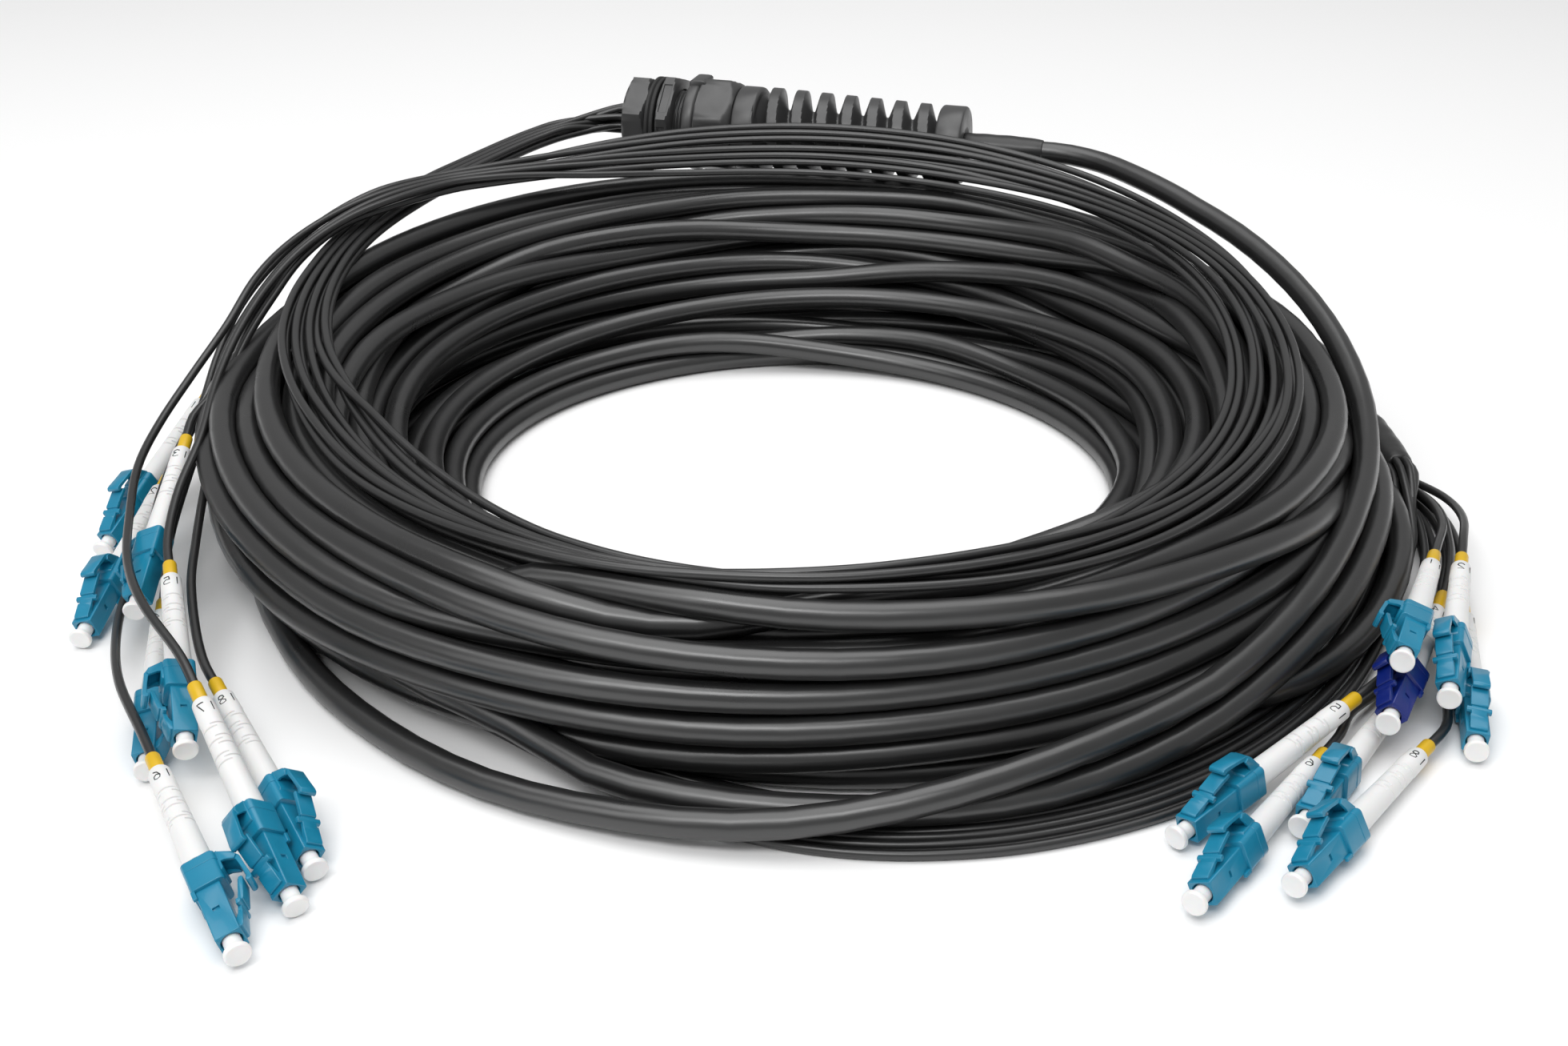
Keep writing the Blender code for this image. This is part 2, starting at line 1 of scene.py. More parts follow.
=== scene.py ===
# %% [markdown]
# # Fibre breakout cable
# A trunk cable of about 32 m lies in a flat coil. One end passes through a ribbed gland and splits into
# eight thin legs. The other end goes through a shrunk divider into eight more. Each leg ends in a white
# boot and a blue plug with a dust cap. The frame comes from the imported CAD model, and this script gives it
# its looks.

# %% Load the frame
import math

import bmesh
import bpy
import numpy as np
from mathutils import Matrix, Vector


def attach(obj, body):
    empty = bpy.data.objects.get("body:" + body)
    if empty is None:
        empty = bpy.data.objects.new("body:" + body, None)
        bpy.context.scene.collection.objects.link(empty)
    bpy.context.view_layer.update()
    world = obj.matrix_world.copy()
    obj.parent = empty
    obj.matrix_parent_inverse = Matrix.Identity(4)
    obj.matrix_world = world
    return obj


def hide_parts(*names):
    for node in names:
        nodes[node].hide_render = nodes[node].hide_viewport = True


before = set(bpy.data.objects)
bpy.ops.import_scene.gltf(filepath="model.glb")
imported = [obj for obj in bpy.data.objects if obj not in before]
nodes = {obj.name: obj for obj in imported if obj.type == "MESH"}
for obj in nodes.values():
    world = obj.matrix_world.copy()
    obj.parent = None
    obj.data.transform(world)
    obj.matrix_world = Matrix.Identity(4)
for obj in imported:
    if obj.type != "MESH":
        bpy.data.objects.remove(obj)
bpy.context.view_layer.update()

print("CAD nodes:", len(nodes))


def add_object(name, data):
    obj = bpy.data.objects.new(name, data)
    bpy.context.scene.collection.objects.link(obj)
    return obj


# %% [markdown]
# ## Camera
# The photograph was taken from slightly above the near side. Its focal length, height and distance were
# fitted to the ellipse of the coil's hole and to the plugs' known size, so the camera is placed from those
# numbers.

# %% Camera
MM = 0.001
IMAGE_W, IMAGE_H = 1960, 1307
FOCAL_PX = 2400.0
DISTANCE = 486.0 * MM
ELEVATION = math.radians(26.0)
AIM_PX = (985.0, 600.0)  # where the coil's axis meets the floor


def make_camera():
    data = bpy.data.cameras.new("camera")
    data.sensor_width = 36.0
    data.lens = 36.0 * FOCAL_PX / IMAGE_W
    cam = add_object("camera", data)
    cam.location = (0.0, -DISTANCE * math.cos(ELEVATION), DISTANCE * math.sin(ELEVATION))
    pitch = ELEVATION + math.atan((IMAGE_H / 2 - AIM_PX[1]) / FOCAL_PX)
    yaw = math.atan((AIM_PX[0] - IMAGE_W / 2) / FOCAL_PX)
    cam.rotation_euler = (math.pi / 2 - pitch, 0.0, yaw)
    data.clip_start = 0.02
    data.clip_end = 20.0
    bpy.context.scene.camera = cam
    return cam


camera = make_camera()
print("lens", round(camera.data.lens, 2), "mm")

# %% [markdown]
# ## Routes
# Every free route is a short list of points read from the photograph, and a smooth curve runs through them.
# A centripetal Catmull-Rom curve is used, because it makes no loops where points lie close together.


# %% Curves through points
def smooth_route(points, step):
    knots = np.array([tuple(p) for p in points], float)
    knots = np.vstack([2 * knots[0] - knots[1], knots, 2 * knots[-1] - knots[-2]])
    dense = [span(knots[i - 1 : i + 3]) for i in range(1, len(knots) - 2)]
    return even_steps(np.vstack([*dense, knots[-2]]), step)


def span(four, count=16):
    a, b, c, d = four
    t1 = np.linalg.norm(b - a) ** 0.5
    t2 = t1 + np.linalg.norm(c - b) ** 0.5
    t3 = t2 + np.linalg.norm(d - c) ** 0.5
    t = (t1 + (t2 - t1) * np.arange(count) / count)[:, None]
    ab = a + (b - a) * t / t1
    bc = b + (c - b) * (t - t1) / (t2 - t1)
    cd = c + (d - c) * (t - t2) / (t3 - t2)
    abc = ab + (bc - ab) * t / t2
    bcd = bc + (cd - bc) * (t - t1) / (t3 - t1)
    return abc + (bcd - abc) * (t - t1) / (t2 - t1)


def even_steps(dense, step):
    way = arc(dense)
    at = np.linspace(0.0, way[-1], max(2, round(way[-1] / step) + 1))
    return np.stack([np.interp(at, way, dense[:, k]) for k in range(3)], axis=1)


def arc(points):
    return np.concatenate([[0.0], np.cumsum(np.linalg.norm(np.diff(points, axis=0), axis=1))])


def read_off(table, at):
    """The other columns of a table, read where its first column has these values."""
    first, *others = np.array(table, float).T
    return [np.interp(at, first, column) for column in others]


def polar(angle, radius, height):
    turn = np.radians(angle)
    return np.stack([radius * np.cos(turn), radius * np.sin(turn), height + 0 * turn], axis=-1)


# %% [markdown]
# ## The trunk's turns
# The coil is one cable, laid by hand. A hank like this isn't wound in neat layers: each turn lands next to
# the last one, drifts to a new place and crosses its neighbours. So every turn gets a home in a packed
# section, the homes are visited in short random hops, and a relaxation then pushes touching turns apart
# until they lie on and beside each other, while each stays as smooth as a stiff cable has to be.

# %% Homes of the turns in the coil's section
TRUNK_D = 6.0
LEG_D = 2.0
SLACK = 0.05  # between cords that touch
TRUNK_ROUNDS, LEG_ROUNDS = 440, 160  # of relaxation
HOP = 13.5  # the farthest that a turn usually moves to its next home
CROWD = 8.0  # homes nearer than this count as neighbours
TURN_STEPS = 96
STEP_DEG = 360.0 / TURN_STEPS
FIRST_DEG = 7.5  # angle of the first slice
REST = TRUNK_D / 2  # height of a turn's middle on the floor
rng = np.random.default_rng(11)


def section_edges(height):
    """Inner and outer radius that a turn's middle may have at this height."""
    inner = np.interp(height, [REST, 36.4, 38.8], [80.2, 113.2, 119.0])
    rows = [(REST, 132.0), (8.0, 133.6), (20.0, 134.2), (30.6, 130.6), (37.4, 125.2), (38.8, 120.5)]
    outer = read_off(rows, height)[0]
    return inner, outer


LAYERS, TOP = 8, 38.4  # layers of turns, and the height of the highest
SPARED = (3, 11, 18)  # places deep inside that stay empty, so that the turns have room to move


def packed_homes():
    homes = []
    for height in np.linspace(REST, TOP, LAYERS):
        inner, outer = section_edges(height)
        count = max(1, int((outer - inner) / (TRUNK_D + 0.15)) + 1)
        if count == 1:
            homes.append(((inner + outer) / 2, height))
            continue
        homes += [(r, height) for r in np.linspace(inner, outer, count)]
    return np.array([h for k, h in enumerate(homes) if k not in SPARED])


homes = packed_homes()
print("turns in the section:", len(homes))


# %% Order in which the cable visits its homes
def short_hops(points, first, last):
    left = set(range(len(points))) - {first, last}
    order = [first]
    while left:
        here = points[order[-1]]
        near = sorted(left, key=lambda k: np.hypot(*(points[k] - here)))
        reach = [k for k in near if np.hypot(*(points[k] - here)) < HOP] or near[:1]
        crowd = [sum(np.hypot(*(points[k] - points[j])) < CROWD for j in left) for k in reach]
        fewest = [k for k, c in zip(reach, crowd) if c <= min(crowd) + 1]
        pick = fewest[rng.integers(len(fewest))]
        order.append(pick)
        left.discard(pick)
    return [*order, last]


def nearest_home(radius, height):
    return int(np.argmin(np.hypot(homes[:, 0] - radius, homes[:, 1] - height)))


first_home = nearest_home(133.0, 8.0)
last_home = nearest_home(132.0, 3.0)
visits = short_hops(homes, first_home, last_home)
hops = [np.hypot(*(homes[a] - homes[b])) for a, b in zip(visits, visits[1:])]
print("longest hop between turns:", round(max(hops), 1), "mm")

# %% [markdown]
# Some stretches can be followed in the photograph: the tail from the gland, which comes down on the right
# and bulges at the lower left, the turn that crosses over the crest at the front right, the turn below the
# tail, the outermost turn at the right, and the tail that runs to the divider. They keep their own routes,
# as angle, radius and height.

# %% Stretches followed in the photograph
TURNS = len(visits)
END = 360.0 * (TURNS - 1)
DIVIDER_TAIL = [
    (7.3, 150.1, 9.3), (14.5, 146.8, 9.4), (22, 143.7, 9.4), (30, 141.6, 9.4), (38, 140.2, 9.4),
    (48, 139.2, 9.4),
]
GLAND_TAIL = [
    (172, 132.5, 3), (184, 131.0, 3), (196, 130.5, 3), (207, 131.6, 3), (216.8, 134.8, 3),
    (222.2, 137.5, 3), (228.3, 140.2, 3), (235.3, 143.2, 3), (242.3, 146.6, 3), (248.7, 149.2, 3.1),
    (254, 150.6, 3.6), (260.2, 152.6, 4.6), (264.4, 153.8, 5.1), (268.7, 154.0, 5.7), (273.2, 153.9, 7.1),
    (277.8, 153.5, 8.8), (282.6, 152.6, 10.5), (287.5, 150.8, 11.7), (292.7, 149.0, 12.7),
    (298.6, 147.6, 13.9), (304.1, 146.8, 15.3), (312.5, 143.9, 18), (318.3, 142.1, 20),
    (327.6, 139.6, 22.3), (334.4, 138.3, 23.5), (343.3, 138.1, 24.5), (348.2, 138.0, 26),
    (354.3, 138.1, 28.4), (360.2, 137.5, 31.8), (364.3, 137.1, 34.2), (369.3, 136.5, 37.1),
    (374.8, 135.9, 39.9), (380.3, 135.4, 42.5), (386.1, 135.0, 44.9), (392.6, 134.7, 47.1),
    (398.6, 134.6, 49.2), (405, 134.4, 50.8),
]
CROSSING = [
    (234, 118.5, 37.3), (246, 122.5, 36.8), (258, 127.5, 36.5), (268, 130.5, 36.2), (277.2, 132.2, 36.0),
    (283.6, 133.2, 35.8), (290.2, 134.4, 35.5), (295, 135.2, 35.2), (300, 135.4, 34.8),
    (305.5, 135.4, 34.2), (312, 135.0, 32.7), (321.2, 134.4, 29.5), (331, 134.0, 25.0),
    (339.1, 133.8, 20.5), (350, 134.0, 16.0), (362, 134.5, 13.0), (372, 134.5, 11.5),
]
BELOW_TAIL = [
    (240, 129.0, 3.0), (246, 134.0, 3.6), (250, 138.0, 4.6), (254, 141.6, 5.1), (257, 143.8, 5.1),
    (260, 145.4, 5.1), (266, 147.4, 5.1), (273, 149.0, 5.1), (278, 150.5, 5.1), (282.6, 151.7, 5.1),
    (287.3, 152.0, 5.2), (292.7, 151.4, 5.9), (298.9, 150.2, 7.5), (304.2, 149.0, 9.0),
    (309.2, 147.4, 10.8), (315.7, 145.5, 12.6), (322.4, 144.6, 14.4), (329.2, 143.4, 16.0),
    (336, 142.2, 16.8), (345, 141.0, 16.6), (355, 139.5, 15.3), (366, 138.0, 14.0),
]
OUTERMOST = [
    (296, 142.5, 5.1), (301, 143.8, 5.1), (306, 146.2, 5.1), (311, 149.2, 5.1), (316, 150.8, 5.5),
    (325, 151.0, 7.0), (332, 150.4, 8.2), (340, 149.6, 8.8), (347, 147.0, 8.6), (353, 143.0, 8.2),
    (360, 139.5, 7.6), (370, 137.0, 6.6),
]


# %% [markdown]
# The coil isn't a perfect ring: it is higher at the far side than at the near side, its inner turns lie
# farther in at the far side, and its foot spreads at the near right. These are slow changes round the coil,
# so they are added to the homes as functions of the angle.


# %% Home of every point of the trunk
FOOT = [  # angle and outer radius at the floor
    (0, 142), (12, 138), (60, 134), (180, 133), (198, 129.5), (212, 124), (224, 121), (240, 121.5),
    (250, 125.5), (260, 132), (272, 138), (285, 141.5), (300, 144.5), (315, 148), (330, 151), (345, 150),
    (352, 146), (360, 142),
]
COIL_H = 42.0
FOOT_R = 133.0  # about the outer radius of the homes near the floor


def shaped(radius, height, angle):
    far = np.sin(np.radians(angle))
    near = np.maximum(-far, 0.0)
    tall = (COIL_H + 4.2 * far - 1.7 * near) / COIL_H
    inner = np.clip((118.0 - radius) / 38.0, 0.0, 1.0)
    outer = np.clip((radius - 105.0) / 28.0, 0.0, 1.0)
    foot = read_off(FOOT, angle % 360.0)[0] - FOOT_R
    stretched = radius - 6.5 * inner * np.maximum(far, 0.0) ** 2
    stretched += 2.8 * near * np.clip((height - 24.0) / 9.0, 0.0, 1.0)  # the near crest
    reach = np.where(foot < 0, 11.0, 26.0)  # how far up the foot's shape is felt
    lean = 4.5 * near  # the near side leans outward
    foot = foot * np.clip(1.0 - (height - REST) / reach, 0.0, 1.0)
    risen = np.clip((height - REST) / reach, 0.0, 1.0)
    stretched += outer * np.where(foot < 0, foot + lean * risen, np.maximum(foot, lean))
    return np.stack([stretched, REST + (height - REST) * tall], axis=1)


def drift(angles, size, seed):
    """Each turn is a circle a little off the coil's axis, and where its middle lies changes slowly."""
    source = np.random.default_rng(seed)
    turn = angles / 360.0
    knots = np.arange(int(turn[-1]) + 3)
    east = np.interp(turn, knots, source.normal(0, size, len(knots)))
    north = np.interp(turn, knots, source.normal(0, size, len(knots)))
    return east * np.cos(np.radians(angles)) + north * np.sin(np.radians(angles))


def slow_noise(angles, size, seed):
    source = np.random.default_rng(seed)
    total = np.zeros_like(angles)
    for wave in (0.6, 1.1, 1.9, 2.7):
        phase = source.uniform(0, 6.28)
        total += np.sin(np.radians(angles) * wave + phase) * source.normal(0, size / wave**0.7)
    return total


def trunk_homes():
    count = int(round((END + GLAND_TAIL[-1][0] - FIRST_DEG) / STEP_DEG)) + 1
    angles = FIRST_DEG + STEP_DEG * np.arange(count)
    turn_no = angles / 360.0
    place = np.zeros((count, 2))
    swap_at = 1.0 + np.arange(TURNS - 1) + rng.uniform(0.0, 0.46, TURNS - 1)  # mostly on the far side
    width = rng.uniform(0.2, 0.36, TURNS - 1)
    place += homes[visits[0]]
    for k in range(TURNS - 1):
        t = np.clip((turn_no - swap_at[k] + width[k]) / (2 * width[k]), 0, 1)
        s = (t * t * (3 - 2 * t))[:, None]
        place += s * (homes[visits[k + 1]] - homes[visits[k]])
    place[:, 0] += drift(angles, 3.0, 3) + slow_noise(angles, 0.5, 5)
    place[:, 1] += drift(angles, 2.4, 4) + slow_noise(angles, 0.4, 6)
    place[:, 1] = np.clip(place[:, 1], REST, 40.0)
    inner, outer = section_edges(place[:, 1])
    place[:, 0] = np.clip(place[:, 0], inner - 1.0, outer + 1.5)
    return angles, shaped(place[:, 0], place[:, 1], angles)


angles, target = trunk_homes()
hold = np.full(len(angles), 0.035)


FIRM = 0.8  # a route held at least this strongly isn't eased in


def follow(route, start, strength, ease=14.0):
    """Replaces the homes along a followed stretch, easing in and out of it."""
    local = angles - start
    low, high = route[0][0], route[-1][0]
    inside = (local >= low) & (local <= high)
    edge = np.minimum(local - low, high - local) / ease
    s = np.clip(edge, 0, 1)[inside][:, None]
    if strength >= FIRM:
        s = np.ones_like(s)
    target[inside] = target[inside] * (1 - s) + np.stack(read_off(route, local[inside]), axis=1) * s
    hold[inside] = np.maximum(hold[inside], strength * s[:, 0])


def best_turn(before, after, taken=()):
    """The turn whose homes before and after its swap lie nearest to these two places."""
    free = [k for k in range(2, TURNS - 3) if k not in taken]
    places = [(homes[visits[k]], homes[visits[k + 1]]) for k in range(TURNS - 1)]
    return min(free, key=lambda k: np.hypot(*(places[k][0] - before)) + np.hypot(*(places[k][1] - after)))


# each turn is found by its places in the section, as radius and height
crest = best_turn((121.0, 32.0), (134.0, 15.0))
below = best_turn((132.0, 6.0), (134.0, 12.0), (crest,))
outermost = best_turn((133.0, 8.0), (133.0, 6.0), (crest, below))
follow(DIVIDER_TAIL, 0.0, 0.9)
follow(GLAND_TAIL, END, 0.9)
follow(CROSSING, 360.0 * crest, 0.35)
follow(BELOW_TAIL, 360.0 * below, 0.3)
follow(OUTERMOST, 360.0 * outermost, 0.12)
print("points along the trunk:", len(angles), "turns followed:", crest, below, outermost)


# %% [markdown]
# The relaxation works in slices, one at each angle. In a slice every strand is a disc. Discs that overlap
# push each other apart, each is drawn weakly to its home, and then every strand is smoothed along its
# length. Nothing goes below the floor. The discs start small and grow, and of two turns that meet head-on
# the later one is pushed up and outward, so crossing turns roll over each other slowly and don't jump. The
# pull to the homes weakens with the rounds, so that contact counts for more in the end. The same function
# lays the right legs first, then the trunk against them, and last the left legs on the trunk.


# %% Relaxation of strands that lie on each other
AWAY = 1e4
LEAN = np.array([-1.5, -2.6])  # mm, from an earlier turn's side of a pair


def as_rows(place, used):
    """Strands of whole turns as rows of slices. Points that aren't used are moved far apart."""
    rows = place.reshape(-1, TURN_STEPS, 2).copy()
    off = ~used.reshape(-1, TURN_STEPS)
    rows[off] = (AWAY + 50.0 * np.arange(len(rows))[:, None, None] * np.ones((1, TURN_STEPS, 2)))[off]
    return rows


def relax(place, target, hold, used, gap, rounds, low, fixed=None, reach=0.0, stiff=0.22, lean=0.0):
    """place is (strands, points, 2). Points one turn apart share a slice. The discs in fixed don't move."""
    place = place.copy()
    rows = place.shape[0] * place.shape[1] // TURN_STEPS
    a, b = np.triu_indices(rows, 1)
    gather = np.zeros((rows, len(a)))
    gather[a, np.arange(len(a))] = 1.0
    gather[b, np.arange(len(a))] = -1.0
    for n in range(rounds):
        grid = as_rows(place, used)
        apart = grid[a] - grid[b]
        grown = gap * min(1.0, 0.3 + 1.1 * n / rounds)
        push = np.maximum(grown - np.linalg.norm(apart, axis=2), 0.0) * 0.5
        apart += LEAN * lean * (1.0 - 0.8 * n / rounds)
        push /= np.maximum(np.linalg.norm(apart, axis=2), 1e-6)
        shift = (gather @ (apart * push[:, :, None]).reshape(len(a), -1)).reshape(grid.shape)
        if fixed is not None:
            shift += pushed_by(grid, fixed, reach)
        move = np.clip(shift.reshape(place.shape) * 0.8, -1.2, 1.2)
        if lean:
            move = np.stack([along(m) for m in move])
        place += move * (1.0 - 0.8 * hold[:, :, None]) * used[:, :, None]
        place += (target - place) * hold[:, :, None] * (1.0 - 0.6 * n / rounds)
        soft = stiff * (1.0 if n < rounds - 25 else 0.5)
        for k in range(len(place)):
            place[k, used[k]] = stiffened(place[k, used[k]], soft)
        place[:, :, 1] = np.maximum(place[:, :, 1], low)
    return place


SPREAD = np.array([1.0, 4.0, 9.0, 14.0, 16.0, 14.0, 9.0, 4.0, 1.0])
SPREAD /= SPREAD.sum()
EASE = np.array([1.0, 2.0, 3.0, 2.0, 1.0]) / 9.0


def stiffened(line, share):
    """Draws each point towards the weighted middle of the points on both sides, as bending stiffness does."""
    half = len(SPREAD) // 2
    mirrored = np.vstack([2 * line[0] - line[half:0:-1], line, 2 * line[-1] - line[-2 : -half - 2 : -1]])
    soft = np.stack([np.convolve(mirrored[:, k], SPREAD, mode="valid") for k in (0, 1)], axis=1)
    return line + (soft - line) * share


def along(move):
    """Spreads a push over the neighbouring points of its strand."""
    return np.stack([np.convolve(move[:, k], EASE, mode="same") for k in (0, 1)], axis=1)


def pushed_by(grid, fixed, reach):
    shift = np.zeros_like(grid)
    for disc in fixed:
        apart = grid - disc[None]
        dist = np.maximum(np.linalg.norm(apart, axis=2), 1e-6)
        shift += apart * (np.maximum(reach - dist, 0.0) / dist)[:, :, None]
    return shift


def share_over(deep, limit):
    return f"{float((deep > limit).mean()) * 100:.1f} % of length"


def deepest(place, used, gap):
    rows = as_rows(place, used)
    worst = np.zeros(rows.shape[:2])
    for k in range(len(rows)):
        for j in range(k):
            deep = np.maximum(gap - np.linalg.norm(rows[k] - rows[j], axis=1), 0)
            worst[k] = np.maximum(worst[k], deep)
            worst[j] = np.maximum(worst[j], deep)
    return worst


# %% [markdown]
# ## The legs
# Eight legs leave the gland side by side, run a little more than once round the top of the coil as a loose
# ribbon, and fan out at the left. Eight more leave the divider and run once round the foot of the coil.
# Their free ends are short routes read from the photograph, down to each plug.

# %% Plugs and the legs' free ends
PLUGS = {  # nose, a point behind it on its axis, and the side its latch faces
    "L1": ((-158.6, -40.0, 3.6), (-146.0, 9.6, 20.2), (-0.3, 0.0, 1.0)),
    "L2": ((-151.0, -80.4, 3.4), (-147.0, -27.6, 14.0), (-0.25, 0.0, 1.0)),
    "L3": ((-136.7, -85.7, 13.5), (-139.0, -33.5, 27.0), (-1.0, 0.0, -0.4)),
    "L4": ((-123.1, -130.0, 3.4), (-134.5, -77.4, 8.3), (1.0, 0.0, 0.2)),
    "L5": ((-114.2, -132.4, 10.0), (-130.1, -81.8, 20.0), (-1.0, 0.0, 0.3)),
    "L6": ((-92.8, -183.7, 3.6), (-119.2, -136.9, 8.8), (1.0, 0.4, 0.3)),
    "L7": ((-86.3, -170.5, 3.4), (-113.1, -125.9, 17.7), (-0.6, -0.5, 0.6)),
    "L8": ((-85.1, -160.6, 3.4), (-112.8, -115.1, 11.7), (0.8, -0.2, 0.8)),
    "R1": ((120.4, -115.2, 18.4), (141.7, -65.7, 13.3), (-1.0, 0.0, 0.3)),
    "R2": ((130.6, -115.2, 10.4), (148.4, -64.3, 12.8), (-0.6, -0.2, 1.0)),
    "R3": ((134.3, -123.3, 3.4), (148.0, -71.1, 3.9), (0.0, -0.3, 1.0)),
    "R4": ((116.3, -124.8, 10.4), (140.6, -76.6, 8.3), (-0.8, 0.0, 0.75)),
    "R5": ((72.7, -151.6, 3.4), (112.5, -115.2, 8.6), (-0.3, 0.0, 1.0)),
    "R6": ((71.8, -170.9, 3.85), (103.7, -127.3, 3.65), (-0.6, 0.0, 1.0)),
    "R7": ((95.4, -148.3, 3.4), (126.2, -104.0, 3.4), (-0.3, -0.3, 1.0)),
    "R8": ((90.2, -166.2, 3.95), (124.7, -124.6, 3.65), (-0.6, 0.2, 1.0)),
}
SEATS = {  # where each leg sits in its bundle: columns outward, rows upward
    "L1": (1.5, -0.5), "L6": (1.5, 0.5), "L2": (0.5, -0.5), "L7": (0.5, 0.5),
    "L4": (-0.5, -0.5), "L3": (-0.5, 0.5), "L8": (-1.5, -0.5), "L5": (-1.5, 0.5),
    "R6": (-1.5, -0.5), "R5": (-1.5, 0.5), "R7": (-0.5, -0.5), "R1": (-0.5, 0.5),
    "R8": (0.5, -0.5), "R4": (0.5, 0.5), "R3": (1.5, -0.5), "R2": (1.5, 0.5),
}
LEGS = {
    "L1": [(-114, 71, 50.8), (-127, 58, 43), (-138, 42, 33)],
    "L2": [(-113, 68.5, 50.8), (-124, 57, 45.5), (-134.5, 42, 38), (-139.5, 25, 29.5), (-143, 7, 22.5),
           (-146, -12, 17.5)],
    "L3": [(-109, 65, 53.3), (-119, 52.5, 51.2), (-128.2, 37, 46.8), (-133.5, 20, 42), (-137.3, 0, 35.5),
           (-137.2, -18, 30.8)],
    "L4": [(-110.5, 67, 51.1), (-121.5, 55.5, 48.8), (-131, 41.5, 41.5), (-136.5, 25, 36),
           (-139.3, 10, 28.5), (-141.3, -8, 21), (-141.5, -28, 15.5), (-140, -50, 11.5),
           (-137.3, -66, 9.5)],
    "L5": [(-106.5, 63, 53.3), (-116.5, 50.5, 52), (-125, 36, 49), (-130.5, 20, 45), (-134, 0, 39.8),
           (-134.8, -20, 34.8), (-133.6, -40, 30), (-134.3, -58, 25.2)],
    "L6": [(-112.5, 69.5, 53.3), (-125, 57, 49), (-135, 42, 42.5), (-140.5, 24, 36.5), (-142.5, 8, 30),
           (-143, -8, 23.7), (-144.5, -25, 19.8), (-145, -40, 15.3), (-143.5, -58, 10.2), (-143.5, -75, 8),
           (-140, -92, 8.5), (-133, -112, 10)],
    "L7": [(-111, 67.3, 53.3), (-121.5, 54.5, 51.5), (-130, 40, 48.5), (-135, 24, 45), (-139, 8, 38.5),
           (-144.5, -6, 31.5), (-148.5, -22, 26), (-149, -39, 23), (-145, -60, 21), (-138, -84, 21.5),
           (-129, -103, 22.5)],
    "L8": [(-107.5, 64.5, 50.8), (-117.2, 52, 50.2), (-125.5, 36, 46.5), (-129.9, 20, 41.7),
           (-133.2, 0, 36.4), (-134, -20, 30.4), (-132.5, -36, 25.6), (-131, -52, 21), (-128.8, -68, 17.5),
           (-125.5, -84, 16)],
    "R1": [(147.7, 0, 3.25), (153.5, -21, 6.3), (151.2, -42, 10)],
    "R2": [(152.1, 0, 3.25), (158.0, -22.5, 6.7), (156.2, -41, 10.6)],
    "R3": [(152.1, 0, 1.1), (158.4, -22.6, 1.45), (156.8, -41.5, 1.6), (152.8, -54, 2.7)],
    "R4": [(149.9, 0, 3.25), (156.3, -22.4, 4.4), (153, -44, 5.8), (149, -57, 7.2)],
    "R5": [(145.5, 0, 3.25), (150.5, -21.6, 3.75), (148, -42.5, 3.75), (140.4, -64, 3.75), (133, -81, 3.75),
           (127.5, -92, 4.2), (122.8, -101.3, 6.2)],
    "R6": [(145.5, 0, 1.1), (150.5, -21.6, 1.35), (148.2, -42.5, 1.35), (140.8, -64, 1.35),
           (133.5, -81, 1.35), (127.5, -93, 1.35), (120.3, -103.3, 2), (112.6, -112.5, 3.1)],
    "R7": [(147.7, 0, 1.1), (152.9, -22, 1.35), (150.6, -43, 1.35), (143.4, -63, 1.35), (138.4, -77, 1.4),
           (134.2, -88.5, 2.4)],
    "R8": [(149.9, 0, 1.1), (155.5, -22.3, 1.35), (153.2, -43, 1.35), (147.1, -60, 1.35),
           (142.3, -77, 1.35), (139.2, -88.5, 1.35), (136.2, -99, 1.35), (133.3, -109, 2.2)],
}
LEFT = [key for key in PLUGS if key.startswith("L")]
RIGHT = [key for key in PLUGS if key.startswith("R")]
R_FAN = [(24.0, 142.0), (16.0, 143.5), (8.0, 146.0)]  # angle and radius of the ribbon before it fans out
PITCH = 2.3  # of the left legs where they lie in two layers
RIGHT_PITCH = 2.15  # of the right legs' two layers
TUBE_END = -54.0  # from the plug's nose


def fan_out(key, places):
    """Where a right leg leaves the ribbon at these angles and radii."""
    column, row = SEATS[key]
    return [polar(angle, radius + column * 2.2, 2.2 + row * RIGHT_PITCH) for angle, radius in places]


def plug_axes(key):
    nose, behind, hint = (Vector(v) for v in PLUGS[key])
    forward = (nose - behind).normalized()
    up = (hint - forward * hint.dot(forward)).normalized()
    return nose, forward, up


# %% The right legs round the foot of the coil
LEG_TOUCH = (TRUNK_D + LEG_D) / 2 + 0.03
RIGHT_FIRST, RIGHT_LAST = 7, 91  # slices
RIGHT_BAND = [  # angle, radius, height of the lower row, share of the legs spread in one layer
    (34, 140.6, 1.1, 0.0), (172, 140.9, 1.1, 0.0), (186, 138.5, 1.1, 0.0), (196, 133.5, 1.1, 0.0),
    (207, 128.0, 1.1, 0.0), (218, 124.0, 1.1, 0.0), (230, 122.5, 1.1, 0.0), (238, 122.5, 1.1, 0.0),
    (245, 124.5, 1.1, 0.0), (251, 130.0, 1.1, 0.3), (255, 134.0, 1.1, 0.5), (260, 139.0, 1.1, 0.8),
    (265.6, 143.3, 1.1, 1.0), (269, 146.3, 1.1, 1.0), (273, 149.0, 1.1, 1.0), (277, 150.8, 1.1, 1.0),
    (285, 152.8, 1.1, 1.0), (296, 153.0, 1.1, 1.0), (304, 152.0, 1.1, 0.9), (318, 149.0, 1.1, 0.5),
    (330, 146.0, 1.1, 0.0), (340, 146.0, 1.3, 0.0), (346, 148.0, 2.4, 0.0), (348.75, 148.9, 3.8, 0.0),
]


